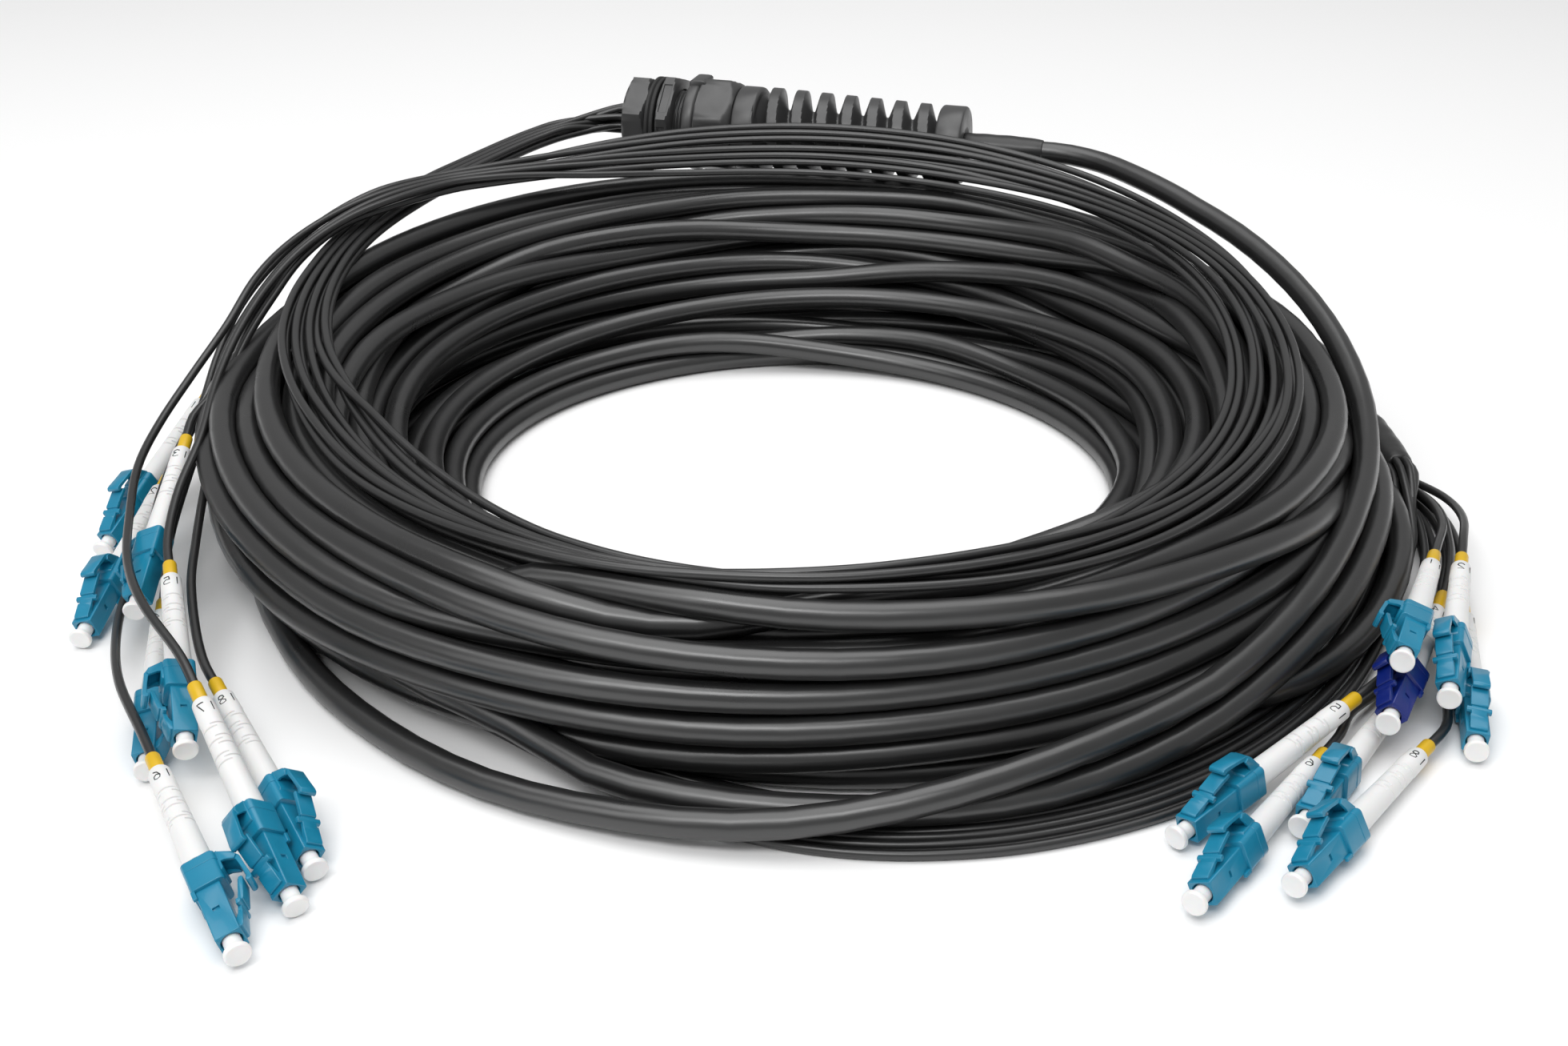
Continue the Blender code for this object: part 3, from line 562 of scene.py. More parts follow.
def lay_right():
    slices = np.arange(RIGHT_FIRST, RIGHT_LAST + 1)
    at = FIRST_DEG + STEP_DEG * slices
    radius, lowest, flat = read_off(RIGHT_BAND, at)
    place = np.zeros((8, TURN_STEPS, 2))
    for n, key in enumerate(RIGHT):
        column, row = SEATS[key]
        wander = slow_noise(at, 0.5, 60 + n) * flat
        stray = 1.0 if 2 * column + row > 3 else 0.0  # the outermost leg lies a little apart
        r = radius + (1 - flat) * column * RIGHT_PITCH + flat * ((2 * column + row) * 2.12 + wander + stray)
        z = lowest + (1 - flat) * (row + 0.5) * RIGHT_PITCH
        place[n, slices] = np.stack([r, z], axis=1)
    used = np.zeros((8, TURN_STEPS), bool)
    used[:, slices] = True
    grip = np.full((8, TURN_STEPS), 0.12)
    done = relax(place, place, grip, used, LEG_D + SLACK, LEG_ROUNDS, LEG_D / 2)
    return at, done[:, slices], as_rows(done, used), deepest(done, used, LEG_D)


right_at, right_place, right_rows, right_deep = lay_right()
print("right legs still overlap by over 0.3 mm:", share_over(right_deep, 0.3))


# %% The right legs' free ends as discs in the slices
def free_rows():
    """Where each right leg crosses each slice on its last stretch, from under the divider to its tube."""
    rows = np.full((8, TURN_STEPS, 2), AWAY)
    for n, key in enumerate(RIGHT):
        start = fan_out(key, [(34.0, 140.8), *R_FAN])
        path = smooth_route(np.vstack([*start, *LEGS[key], *leg_end(key)]), 1.0)
        turn = np.degrees(np.arctan2(path[:, 1], path[:, 0]))
        for k in range(TURN_STEPS):
            at = (FIRST_DEG + STEP_DEG * k + 180.0) % 360.0 - 180.0
            if turn.min() < at < turn.max():
                near = path[np.argmin(np.abs(turn - at))]
                rows[n, k] = np.hypot(near[0], near[1]), near[2]
    return rows


def leg_end(key):
    nose, forward, _ = plug_axes(key)
    return [np.array(nose + forward * (TUBE_END - 8)), np.array(nose + forward * (TUBE_END + 4))]


right_rows = np.concatenate([right_rows, free_rows()])
print("discs of right legs in the slices:", right_rows.shape[:2])


# %% Lay the trunk
def whole_turns(path):
    """Pads a path to whole turns and says which of its points are real."""
    count = -(-len(path) // TURN_STEPS) * TURN_STEPS
    padded = np.vstack([path, np.repeat(path[-1:], count - len(path), axis=0)])
    return padded, np.arange(count) < len(path)


def lay_trunk():
    wanted, used = whole_turns(target)
    grip, _ = whole_turns(np.stack([hold, hold], axis=1))
    args = wanted[None], wanted[None], grip[None, :, 0], used[None]
    touch = {"fixed": right_rows, "reach": LEG_TOUCH}
    laid = relax(*args, TRUNK_D + SLACK, TRUNK_ROUNDS, REST, **touch, stiff=0.2, lean=1.0)
    return laid, used[None]


trunk_place, trunk_used = lay_trunk()
trunk_rows = as_rows(trunk_place, trunk_used)
section_path = trunk_place[0][trunk_used[0]]
deep = deepest(trunk_place, trunk_used, TRUNK_D)
print("turns that still overlap by over 0.5 mm:", share_over(deep, 0.5))
print("deepest overlap:", round(float(deep.max()), 2), "mm")

# %% [markdown]
# ## The trunk as a curve
# A cable is one round section swept along its whole length, so the right object is a curve with a bevel. It
# is a poly spline, because the relaxed points are already close together and a second smoothing would only
# move them.

# %% Ends of the trunk: the gland's sleeve and the divider
GLAND_START = np.array([-47.6, 146.5, 52.38])
GLAND_WAY = np.array([0.9616, -0.2757, 0.0]) / np.hypot(0.9616, 0.2757)
SLEEVE_END = 127.0
DIVIDER_REAR = np.array([148.5, 18.2, 9.3])
DIVIDER_FRONT = np.array([149.8, -11.6, 8.6])
DIVIDER_WAY = (DIVIDER_FRONT - DIVIDER_REAR) / np.linalg.norm(DIVIDER_FRONT - DIVIDER_REAR)


def on_gland(s):
    return GLAND_START + GLAND_WAY * s


def trunk_route():
    ring = polar(angles, section_path[:, 0], section_path[:, 1])
    rear = [DIVIDER_REAR + DIVIDER_WAY * 1.5, DIVIDER_REAR - DIVIDER_WAY * 5.0]
    arch = 0.75 * rear[1] + 0.25 * ring[4] - DIVIDER_WAY * 8.0
    lead = smooth_route([*rear, arch, ring[4]], 4.0)[:-1]
    bend = [(108.2, 80.6, 48.6), (99.8, 91.9, 50.4), (90.4, 102.9, 51.7), (80.6, 109.6, 52.3)]
    into = smooth_route([ring[-4], *bend, on_gland(SLEEVE_END), on_gland(SLEEVE_END - 2)], 5.0)
    return np.vstack([lead, ring[4:-4], into])


trunk_points = trunk_route()
print("trunk length:", round(arc(trunk_points)[-1] * MM, 2), "m")


# %% Round cords as curve objects
def cord_object(name, lines, radius, sides):
    """Poly curves with a round bevel. sides is its resolution, which gives 4 + 2 x sides faces round."""
    data = bpy.data.curves.new(name, "CURVE")
    data.dimensions = "3D"
    data.bevel_depth = 1.0
    data.bevel_resolution = sides
    data.use_fill_caps = True
    for line in lines:
        spline = data.splines.new("POLY")
        spline.points.add(len(line) - 1)
        points = np.column_stack([np.array(line) * MM, np.ones(len(line))])
        spline.points.foreach_set("co", points.ravel())
        spline.points.foreach_set("radius", np.full(len(line), radius * MM))
        spline.use_smooth = True
    return add_object(name, data)


def stand_for(obj, replaced, body="cable"):
    """Tells the frame which body a piece rides on and which CAD nodes it replaces."""
    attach(obj, body)
    if replaced:
        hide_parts(*replaced)
    return obj


trunk = cord_object("trunk", [trunk_points], TRUNK_D / 2, 5)
stand_for(trunk, ["trunk_coil", "trunk_gland_tail", "trunk_divider_tail"])

# %% [markdown]
# The ribbon of left legs rides on the turns below it, so its height can't be typed in: it is read from the
# laid trunk. For every slice and radius, the support height is where a thin leg would touch the highest
# turn.

# %% Height at which a leg rests on the trunk
def support(slices, radius):
    """The lowest heights that clear the trunk, for a leg at these radii in these slices."""
    turns = trunk_rows[:, slices % TURN_STEPS]
    across = radius[None] - turns[:, :, 0]
    lift = np.sqrt(np.maximum(LEG_TOUCH**2 - across**2, 0.0))
    rest = np.where(np.abs(across) < LEG_TOUCH, turns[:, :, 1] + lift, LEG_D / 2)
    return np.maximum(rest.max(axis=0), LEG_D / 2)


def bridged(height, half=4):
    """A stiff leg spans the dips: the running maximum, smoothed."""
    count = len(height)
    peaks = np.array([height[max(i - half, 0) : i + half + 1].max() for i in range(count)])
    kernel = np.hanning(2 * half + 3)
    padded = np.pad(peaks, half + 1, mode="edge")
    return np.convolve(padded, kernel / kernel.sum(), mode="valid")


# %% The ribbon of left legs
LEFT_FIRST, LEFT_LAST = 28, 132  # slices
LEFT_BAND = [  # angle, radius, lowest height, pitch across the ribbon, its tilt, share in two layers
    (112.5, 157.0, 52.0, 2.1, 0, 1.0), (119, 153.5, 50.8, 2.1, 0, 1.0), (130, 143.0, 48.0, 2.1, 0, 1.0),
    (142, 134.0, 47.0, 2.1, 0, 1.0), (155, 127.0, 46.0, 2.1, 0, 1.0), (166, 120.5, 45.0, 2.1, 0, 0.9),
    (178, 116.5, 44.0, 2.2, 0, 0.7), (194, 112.5, 42.0, 2.3, 0, 0.35), (208, 110.5, 40.0, 2.3, 0, 0.0),
    (228, 112.5, 36.0, 2.2, 0, 0.0), (242, 116.0, 34.0, 2.15, 0, 0.0), (256, 120.5, 33.0, 2.12, 0, 0.0),
    (271, 123.0, 33.0, 2.12, 0, 0.0), (286, 123.0, 33.0, 2.12, 0, 0.0), (304, 121.0, 34.0, 2.15, 0, 0.0),
    (324, 116.5, 37.0, 2.2, 0, 0.0), (348, 113.0, 40.0, 2.2, 0, 0.0), (363, 113.0, 42.0, 2.2, 0, 0.0),
    (387, 115.5, 45.5, 2.2, 5, 0.0), (408, 117.0, 49.0, 2.1, 25, 0.0), (426, 112.7, 52.5, 1.95, 48, 0.0),
    (448, 112.3, 53.4, 1.95, 52, 0.0), (466, 113.5, 52.8, 1.95, 46, 0.0), (480, 117.5, 51.6, 2.0, 25, 0.15),
    (492, 123.0, 51.6, 2.1, 8, 0.7), (502.5, 128.0, 52.0, 2.2, 0, 1.0),
]
ORDERS = [  # the legs from the outside in, between the places where some of them cross
    ["L2", "L1", "L6", "L4", "L7", "L8", "L3", "L5"],
    ["L1", "L2", "L4", "L6", "L7", "L3", "L5", "L8"],
    ["L2", "L1", "L7", "L4", "L6", "L8", "L3", "L5"],
    ["L1", "L6", "L2", "L7", "L4", "L3", "L8", "L5"],
]
CROSSINGS = [(205.0, 22.0), (285.0, 16.0), (372.0, 26.0)]  # angle and half width


def lane_of(key, at):
    lane = np.full(len(at), ORDERS[0].index(key), float)
    hump = np.zeros(len(at))
    for before, after, (middle, half) in zip(ORDERS, ORDERS[1:], CROSSINGS):
        change = after.index(key) - before.index(key)
        t = np.clip((at - middle + half) / (2 * half), 0, 1)
        lane += change * t * t * (3 - 2 * t)
        if change > 0:
            hump = np.maximum(hump, 2.3 * np.exp(-(((at - middle) / half) ** 2)))
    return 3.5 - lane, hump


def two_rows(key, at):
    """The leg's column and row where the ribbon lies in two layers, near the gland and near the free ends."""
    first = ORDERS[0].index(key)
    early = (1.5 - first // 2, 0.5 - first % 2)
    late = SEATS[key]
    return [np.where(at < 300.0, a, b) for a, b in zip(early, late)]


def left_targets():
    slices = np.arange(LEFT_FIRST, LEFT_LAST + 1)
    at = FIRST_DEG + STEP_DEG * slices
    radius, lowest, pitch, tilt, packed = read_off(LEFT_BAND, at)
    wanted = []
    for n, key in enumerate(LEFT):
        lane, hump = lane_of(key, at)
        lane = lane + slow_noise(at, 0.35, 40 + n) * (1 - packed)
        r = radius + lane * pitch * np.cos(np.radians(tilt))
        z = lowest + lane * pitch * np.sin(np.radians(tilt)) + hump
        column, row = two_rows(key, at)
        r = r * (1 - packed) + (radius + column * PITCH) * packed
        z = z * (1 - packed) + (lowest + row * PITCH) * packed
        rest = bridged(support(slices, r)) + hump * (1 - packed) + (row + 0.5) * PITCH * packed
        wanted.append(np.stack([r, np.maximum(z, rest)], axis=1))
    return slices, at, np.array(wanted)


def lay_left():
    slices, at, wanted = left_targets()
    length = 2 * TURN_STEPS
    place = np.zeros((8, length, 2))
    used = np.zeros((8, length), bool)
    used[:, slices] = True
    place[:, slices] = wanted
    grip = np.full((8, length), 0.10)
    grip[:, slices] += 0.5 * np.clip(1 - (at - 112.5) / 22, 0, 1) + 0.5 * np.clip((at - 485) / 15, 0, 1)
    touch = {"fixed": trunk_rows, "reach": LEG_TOUCH}
    done = relax(place, place, grip, used, LEG_D + SLACK, LEG_ROUNDS, LEG_D / 2, **touch)
    return at, done[:, slices], deepest(done, used, LEG_D)


left_at, left_place, left_deep = lay_left()
print("left legs still overlap by over 0.3 mm:", share_over(left_deep, 0.3))

# %% Whole legs, from gland or divider to the plug
def ring_seat(n, way, radius):
    """Offset of one of eight seats round an axis."""
    turn = 2 * math.pi * (n + 0.5) / 8
    up = np.array([0, 0, 1])
    return np.cross(way, up) * (radius * math.cos(turn)) + up * (radius * math.sin(turn))


def left_leg(n, key):
    seat = ring_seat(ORDERS[0].index(key), GLAND_WAY, 3.7)
    begin = [on_gland(1.9) + seat, on_gland(-3.5) + seat * 0.98]
    band = polar(left_at, left_place[n, :, 0], left_place[n, :, 1])
    return np.vstack([*begin, band[1:-1], *LEGS[key], *leg_end(key)])


def right_leg(n, key):
    seat = ring_seat(n, DIVIDER_WAY, 2.9)
    begin = [DIVIDER_FRONT - DIVIDER_WAY * 1.5 + seat, DIVIDER_FRONT + DIVIDER_WAY * 4 + seat]
    band = polar(right_at, right_place[n, :, 0], right_place[n, :, 1])[::-1]
    return np.vstack([*begin, band[1:], *fan_out(key, R_FAN), *LEGS[key], *leg_end(key)])


leg_points = {key: smooth_route(left_leg(n, key), 3.0) for n, key in enumerate(LEFT)}
leg_points |= {key: smooth_route(right_leg(n, key), 3.0) for n, key in enumerate(RIGHT)}
print("leg lengths, m:", {key: round(arc(p)[-1] * MM, 2) for key, p in leg_points.items()})


# %% Leg objects
def make_leg(key):
    obj = cord_object(f"leg_{key}_jacket", [leg_points[key]], LEG_D / 2, 3)
    return stand_for(obj, [f"leg_{key}", "leg_bundle_left" if key in LEFT else "leg_bundle_right"])


legs = {key: make_leg(key) for key in PLUGS}

# %% [markdown]
# ## Moulded pieces
# The small mouldings are meshes made from outlines. An outline is pushed out to both sides and its edges
# are rounded a little, and round pieces are rows of rings whose radius may change round the axis. That
# gives slits, hexagons and true helical threads without any cutting.


# %% Mesh tools
def finished_mesh(name, bm, degrees):
    mesh = bpy.data.meshes.new(name)
    bm.to_mesh(mesh)
    bm.free()
    mesh.shade_smooth()
    mesh.set_sharp_from_angle(angle=math.radians(degrees))
    return mesh


def add_mesh(name, bm, degrees=32):
    bmesh.ops.recalc_face_normals(bm, faces=bm.faces)
    return add_object(name, finished_mesh(name, bm, degrees))


def extruded(outline, width, middle=0.0):
    """An outline of (x, z) points, pushed out along y to the width."""
    bm = bmesh.new()
    sides = [middle - width / 2, middle + width / 2]
    near, far = ([bm.verts.new((x * MM, y * MM, z * MM)) for x, z in outline] for y in sides)
    bm.faces.new(near)
    bm.faces.new(far[::-1])
    for k in range(len(outline)):
        j = (k + 1) % len(outline)
        bm.faces.new((near[j], near[k], far[k], far[j]))
    return add_mesh("outline", bm)


def rings(angles_deg, rows, closed=False):
    """rows holds (height, radii), one radius for each angle. The ends are filled unless it is closed."""
    turn = np.radians(np.asarray(angles_deg, float))
    bm = bmesh.new()
    loops = []
    for height, radii in rows:
        r = np.broadcast_to(radii, turn.shape) * MM
        xy = zip(r * np.cos(turn), r * np.sin(turn))
        loops.append([bm.verts.new((x, y, height * MM)) for x, y in xy])
    pairs = list(zip(loops, loops[1:])) + ([(loops[-1], loops[0])] if closed else [])
    for low, high in pairs:
        for k in range(len(turn)):
            j = (k + 1) % len(turn)
            bm.faces.new((low[k], low[j], high[j], high[k]))
    if not closed:
        bm.faces.new(loops[0][::-1])
        bm.faces.new(loops[-1])
    return bm


def rounded(obj, width, segments=2):
    """Rounds the sharp edges and keeps the flat faces flat."""
    bevel = obj.modifiers.new("round", "BEVEL")
    bevel.width = width * MM
    bevel.segments = segments
    bevel.limit_method = "ANGLE"
    bevel.angle_limit = math.radians(35)
    bevel.harden_normals = True
    return obj


def moulded(outline, width, edge, middle=0.0, segments=2):
    return rounded(extruded(outline, width, middle), edge, segments)


def turned(name, rows, step, degrees=50):
    """A round piece about the plug's axis, from rows of place along the axis and radius."""
    obj = add_mesh(name, rings(np.arange(0, 360, step), rows), degrees)
    obj.matrix_world = Matrix.Rotation(math.pi / 2, 4, "Y")
    return obj


def cut(obj, tool):
    boolean = obj.modifiers.new("cut", "BOOLEAN")
    boolean.operation = "DIFFERENCE"
    boolean.solver = "EXACT"
    boolean.object = tool


def melted(name, pieces, tools=()):
    """One mesh from several finished pieces. Where they overlap they meet in a crisp inner corner."""
    bpy.context.view_layer.update()
    graph = bpy.context.evaluated_depsgraph_get()
    bm = bmesh.new()
    for piece in pieces:
        mesh = bpy.data.meshes.new_from_object(piece.evaluated_get(graph))
        mesh.transform(piece.matrix_world)
        bm.from_mesh(mesh)
        bpy.data.meshes.remove(mesh)
    for obj in [*pieces, *tools]:
        bpy.data.objects.remove(obj, do_unlink=True)
    mesh = finished_mesh(name, bm, 32)
    print(name, "has", len(mesh.polygons), "faces")
    return mesh


def rows_between(heights, radius_at, angles_deg):
    return [(h, radius_at(np.asarray(angles_deg, float), h)) for h in heights]


EVEN = np.arange(0, 360, 7.5)
FINE = np.arange(0, 360, 5)
SIDES = (-1, 1)

# %% [markdown]
# ## The plug
# The plug is measured from its nose backward. It has a square body with a round bore for the dust cap and a
# small window on both sides, a wider collar behind it with two guide tabs, a springy latch with two ears,
# and a curved guard that keeps the latch from catching on other cables.

# %% Plug body and collar
def soft_square(width, height, corner, middle_z=0.0):
    """Outline in y and z with rounded corners."""
    points = []
    for k, (sy, sz) in enumerate(((1, -1), (1, 1), (-1, 1), (-1, -1))):
        start = (-90, 0, 90, 180)[k]
        for step in (0, 30, 60, 90):
            turn = math.radians(start + step)
            y = sy * (width / 2 - corner) + corner * math.cos(turn)
            points.append((y, sz * (height / 2 - corner) + corner * math.sin(turn) + middle_z))
    return points


def along_x(outline, first, last):
    """An outline in y and z, pushed out along the plug's axis from first back to last."""
    obj = extruded(outline, first - last, (first + last) / 2)
    obj.matrix_world = Matrix.Rotation(-math.pi / 2, 4, "Z")
    return obj


def box_tool(low, high):
    outline = [(low[0], low[2]), (high[0], low[2]), (high[0], high[2]), (low[0], high[2])]
    return extruded(outline, high[1] - low[1], (low[1] + high[1]) / 2)


def plug_body():
    body = along_x(soft_square(4.6, 4.6, 0.3), 0.0, -13.0)
    bore = turned("bore", [(-1.6, 1.95), (1.0, 1.95)], 7.5, 32)
    windows = [box_tool((-7.2, side * 2.3 - 0.5, -0.65), (-6.4, side * 2.3 + 0.5, 0.65)) for side in SIDES]
    tools = [bore, *windows]
    for tool in tools:
        cut(body, tool)
    return rounded(body, 0.12), tools


def plug_collar():
    collar = rounded(along_x(soft_square(6.0, 6.2, 0.9, 0.2), -12.5, -20.0), 0.2)
    band = rounded(along_x(soft_square(6.2, 6.34, 1.0, 0.25), -17.6, -19.7), 0.12)
    saddle = moulded([(-19.9, 3.0), (-19.9, 3.75), (-15.4, 3.75), (-14.9, 3.2), (-14.9, 3.0)], 4.2, 0.2)
    boxes = [box_tool((-12.7, side * 2.45 - 0.35, -2.9), (-10.6, side * 2.45 + 0.35, -2.1)) for side in SIDES]
    return [collar, band, saddle, *(rounded(box, 0.15) for box in boxes)]


# %% Latch and guard
def plug_latch():
    root = [(-0.8, 1.9), (-0.8, 2.75), (-1.25, 3.05), (-3.4, 3.6), (-4.4, 3.85), (-4.4, 3.1), (-3.0, 2.3)]
    root += [(-3.0, 1.9)]
    arm = [(-3.2, 2.55), (-3.2, 3.35), (-11.6, 5.72), (-11.6, 5.0)]
    pad = [(-6.5, 3.9), (-6.5, 4.55), (-6.8, 4.75), (-11.4, 5.98), (-11.75, 5.8), (-11.75, 5.2)]
    ears = [(-5.3, 3.2), (-5.3, 3.9), (-5.55, 4.15), (-6.15, 4.3), (-6.4, 4.1), (-6.4, 3.4)]
    forms = ((root, 3.4, 0.15), (arm, 3.0, 0.12), (pad, 3.4, 0.15), (ears, 4.9, 0.15))
    return [moulded(*form) for form in forms]


def plug_guard():
    top = [(-19.8, 3.2), (-19.8, 3.9), (-19.1, 5.0), (-18.0, 6.2), (-16.7, 6.9), (-13.6, 7.15), (-11.2, 7.4)]
    tip = [(-10.4, 7.35), (-10.0, 6.95), (-10.05, 6.4), (-10.5, 6.2), (-10.9, 6.35), (-11.2, 6.55)]
    under = [(-13.6, 6.4), (-16.0, 6.1), (-17.0, 5.4), (-17.9, 4.3), (-18.3, 3.2)]
    fin = [(-19.7, 3.2), (-19.7, 3.9), (-18.0, 6.1), (-16.9, 6.5), (-16.2, 5.9), (-17.1, 4.4), (-17.3, 3.2)]
    fins = [moulded(fin, 0.6, 0.1, side * 1.75) for side in SIDES]
    return [moulded([*top, *tip, *under], 3.4, 0.14), *fins]


plug_parts, plug_tools = plug_body()
plug_mesh = melted("plug_housing", [plug_parts, *plug_collar(), *plug_latch(), *plug_guard()], plug_tools)


# %% Dust cap
CAP = [(-1.2, 1.45), (-1.0, 1.6), (1.5, 1.6), (2.1, 1.75), (2.5, 2.15), (2.62, 2.35), (2.8, 2.4), (3.2, 2.4)]
CAP += [(3.42, 2.34), (3.56, 2.2), (3.6, 2.0), (3.5, 1.7), (3.48, 0.6)]
dust_cap = melted("dust_cap", [turned("cap", CAP, 10)])

# %% [markdown]
# ## The boot
# A boot has to bend, so it has rows of short slits. In each row two slits run a third of the way round, and
# the next row is turned by a quarter. They are real dents in the mesh: 0.4 mm wide and 0.45 mm deep.

# %% Boot
BOOT = [(-20.3, 2.7), (-33.0, 2.4), (-43.2, 2.2), (-43.5, 2.28), (-48.6, 2.1), (-49.0, 1.9)]
SLITS = [(-31.6, 0), (-32.6, 90), (-33.6, 0), (-36.2, 90), (-37.2, 0), (-38.2, 90), (-40.6, 0), (-41.5, 90)]


def boot_radius(turn, x):
    r = read_off(BOOT[::-1], x)[0] + 0 * turn
    for at, middle in SLITS:
        near = np.clip(1 - abs(x - at) / 0.2, 0, 1)
        across = np.abs((turn - middle + 90) % 180 - 90)
        r -= 0.45 * near * np.clip((62 - across) / 12, 0, 1)
    return r


def boot_heights():
    base = [-20.3, -20.6, -24, -28, -43.2, -43.5, -46, -48.6, -48.85, -49.0]
    for at, _ in SLITS:
        base += [at - 0.21, at - 0.09, at, at + 0.09, at + 0.21]
    return sorted(set(base), reverse=True)


boot_rows = rows_between(boot_heights(), boot_radius, np.arange(0, 360, 10))
boot_white = melted("boot_white", [turned("boot", boot_rows, 10)])

# %% Tube
LONGER_TUBES = {"R1": 2.0, "R4": 3.5}  # these two show more of their tube


def tube_mesh(more=0.0):
    tip = [(-53.7 - more, 1.45), (-53.95 - more, 1.38), (-54.0 - more, 1.2), (-53.6 - more, 1.02)]
    return melted("tube_yellow", [turned("tube", [(-48.0, 1.3), (-48.4, 1.45), *tip], 15)])


tube_yellow = tube_mesh()

# %% [markdown]
# The boots carry plain numbers and a dash, as thin raised strokes. Each digit is a few lines in a small
# box, bent round the boot, on the side that faces up.

# %% Digits on the boots
STROKES = {  # each digit in a box 0.6 wide and 1 high
    "1": [(0.3, 0.0), (0.3, 1.0)],
    "2": [(0.0, 0.78), (0.08, 0.93), (0.3, 1.0), (0.52, 0.93), (0.6, 0.75), (0.5, 0.55), (0.0, 0.0),
          (0.6, 0.0)],
    "3": [(0.0, 0.88), (0.25, 1.0), (0.55, 0.88), (0.55, 0.65), (0.25, 0.53), (0.57, 0.4), (0.58, 0.15),
          (0.3, 0.0), (0.0, 0.1)],
    "4": [(0.42, 0.0), (0.42, 1.0), (0.0, 0.3), (0.6, 0.3)],
    "5": [(0.55, 1.0), (0.08, 1.0), (0.03, 0.57), (0.35, 0.63), (0.6, 0.42), (0.55, 0.12), (0.28, 0.0),
          (0.0, 0.1)],
    "6": [(0.5, 0.97), (0.2, 0.8), (0.02, 0.4), (0.1, 0.08), (0.35, 0.0), (0.58, 0.15), (0.55, 0.45),
          (0.3, 0.56), (0.05, 0.4)],
    "7": [(0.0, 1.0), (0.6, 1.0), (0.22, 0.0)],
    "8": [(0.3, 0.54), (0.06, 0.7), (0.1, 0.93), (0.3, 1.0), (0.5, 0.93), (0.54, 0.7), (0.3, 0.54),
          (0.02, 0.33), (0.06, 0.08), (0.3, 0.0), (0.54, 0.08), (0.58, 0.33), (0.3, 0.54)],
}
DIGIT_H = 2.3
STROKE_R = 0.13
LABEL_R = 2.155  # the strokes are sunk 0.03 into the boot
LABEL_BACK = 46.1  # from the plug's nose
FACING = Vector((0.0, -0.45, 0.9))


def label_lines(number):
    """Strokes as (sideways, along the boot) in mm: a dash, then the digit."""
    digit = [((x - 0.1) * DIGIT_H, (y - 0.5) * DIGIT_H) for x, y in STROKES[number]]
    return [[(-1.7, -DIGIT_H / 2), (-1.7, DIGIT_H / 2)], digit]


def bent(line, middle, forward, facing):
    """Lays a line on the boot's end segment, round the boot's axis."""
    side = forward.cross(facing)
    dense = [Vector(a).lerp(Vector(b), t) for a, b in zip(line, line[1:]) for t in (0.0, 0.33, 0.67)]
    points = []
    for u, v in [*dense, Vector(line[-1])]:
        turn = u / LABEL_R
        points.append(middle - forward * v + (facing * math.cos(turn) + side * math.sin(turn)) * LABEL_R)
    return points


def make_label(key):
    nose, forward, _ = plug_axes(key)
    facing = (FACING - forward * FACING.dot(forward)).normalized()
    middle = nose - forward * LABEL_BACK
    lines = [bent(line, middle, forward, facing) for line in label_lines(key[1])]
    return cord_object(f"{key}_number", lines, STROKE_R, 1)


# %% Put the plugs, caps, boots and tubes in place
def frame_at(origin, x, z):
    """A matrix from an origin in mm, the local x axis and a direction near the local z axis."""
    x = Vector(x).normalized()
    z = (Vector(z) - x * Vector(z).dot(x)).normalized()
    turn = Matrix((x, z.cross(x), z)).transposed().to_4x4()
    return Matrix.Translation(Vector(origin) * MM) @ turn


def place_piece(name, mesh, matrix, replaced=(), body="cable"):
    obj = add_object(name, mesh)
    obj.matrix_world = matrix
    return stand_for(obj, replaced, body)


PIECES = {"housing": {}, "cap": {}, "boot": {}, "tube": {}, "number": {}}
for key in PLUGS:
    place = frame_at(*plug_axes(key))
    tube = tube_mesh(LONGER_TUBES[key]) if key in LONGER_TUBES else tube_yellow
    PIECES["housing"][key] = place_piece(f"{key}_housing", plug_mesh, place, [f"plug_{key}"])
    PIECES["cap"][key] = place_piece(f"{key}_dust_cap", dust_cap, place)
    PIECES["boot"][key] = place_piece(f"{key}_boot", boot_white, place, [f"boot_{key}"])
    PIECES["tube"][key] = place_piece(f"{key}_tube", tube, place)
    PIECES["number"][key] = stand_for(make_label(key), ())
print("plugs in place:", len(PIECES["housing"]))


# %% [markdown]
# ## The gland
# The gland's pieces share one axis. Each is a stack of rings whose radius is limited by a hexagon where it
# is a nut, so that a cone cut at the ends gives the curved chamfers of a real nut. The thread and the bend
# guard are helical: their radius depends on the height minus the angle.


# %% Gland shapes
UP = Vector((0, 0, 1))
GLAND_ROLL = 8.0
STEM_R = 9.8
BORE_R = 10.2
NECK_R = 6.3
HEX_STEPS = np.array([0, 5, 9, 9.6, 14, 20, 26, 30, 34, 40, 46, 50.4, 51, 55])
HEX_TURNS = np.concatenate([60 * k + HEX_STEPS for k in range(6)])


def hexagon(turn, across, roll):
    return across / 2 / np.cos(np.radians((turn - roll) % 60 - 30))


def nut_rows(across, start, end, face, roll, chamfer):
    """Rings from the start face to the end face, cut by a cone at both ends."""
    corner = across / 2 / math.cos(math.radians(30)) - 0.15
    turns = HEX_TURNS + roll
    limits = [(chamfer * share, face + (corner - face) * share) for share in (0.0, 0.35, 0.7, 1.0)]
    flats = hexagon(turns, across, roll)
    rows = [(start + h, np.minimum(flats, r)) for h, r in limits]
    rows += [(end - h, np.minimum(flats, r)) for h, r in limits[::-1]]
    return turns, rows


def gland_piece(name, parts, body="cable"):
    """Local z runs along the gland and local x points up."""
    replaced = [] if name == "seal" else [f"gland_{name}"]
    return place_piece(name, melted(name, parts), frame_at(GLAND_START, UP, GLAND_WAY), replaced, body)


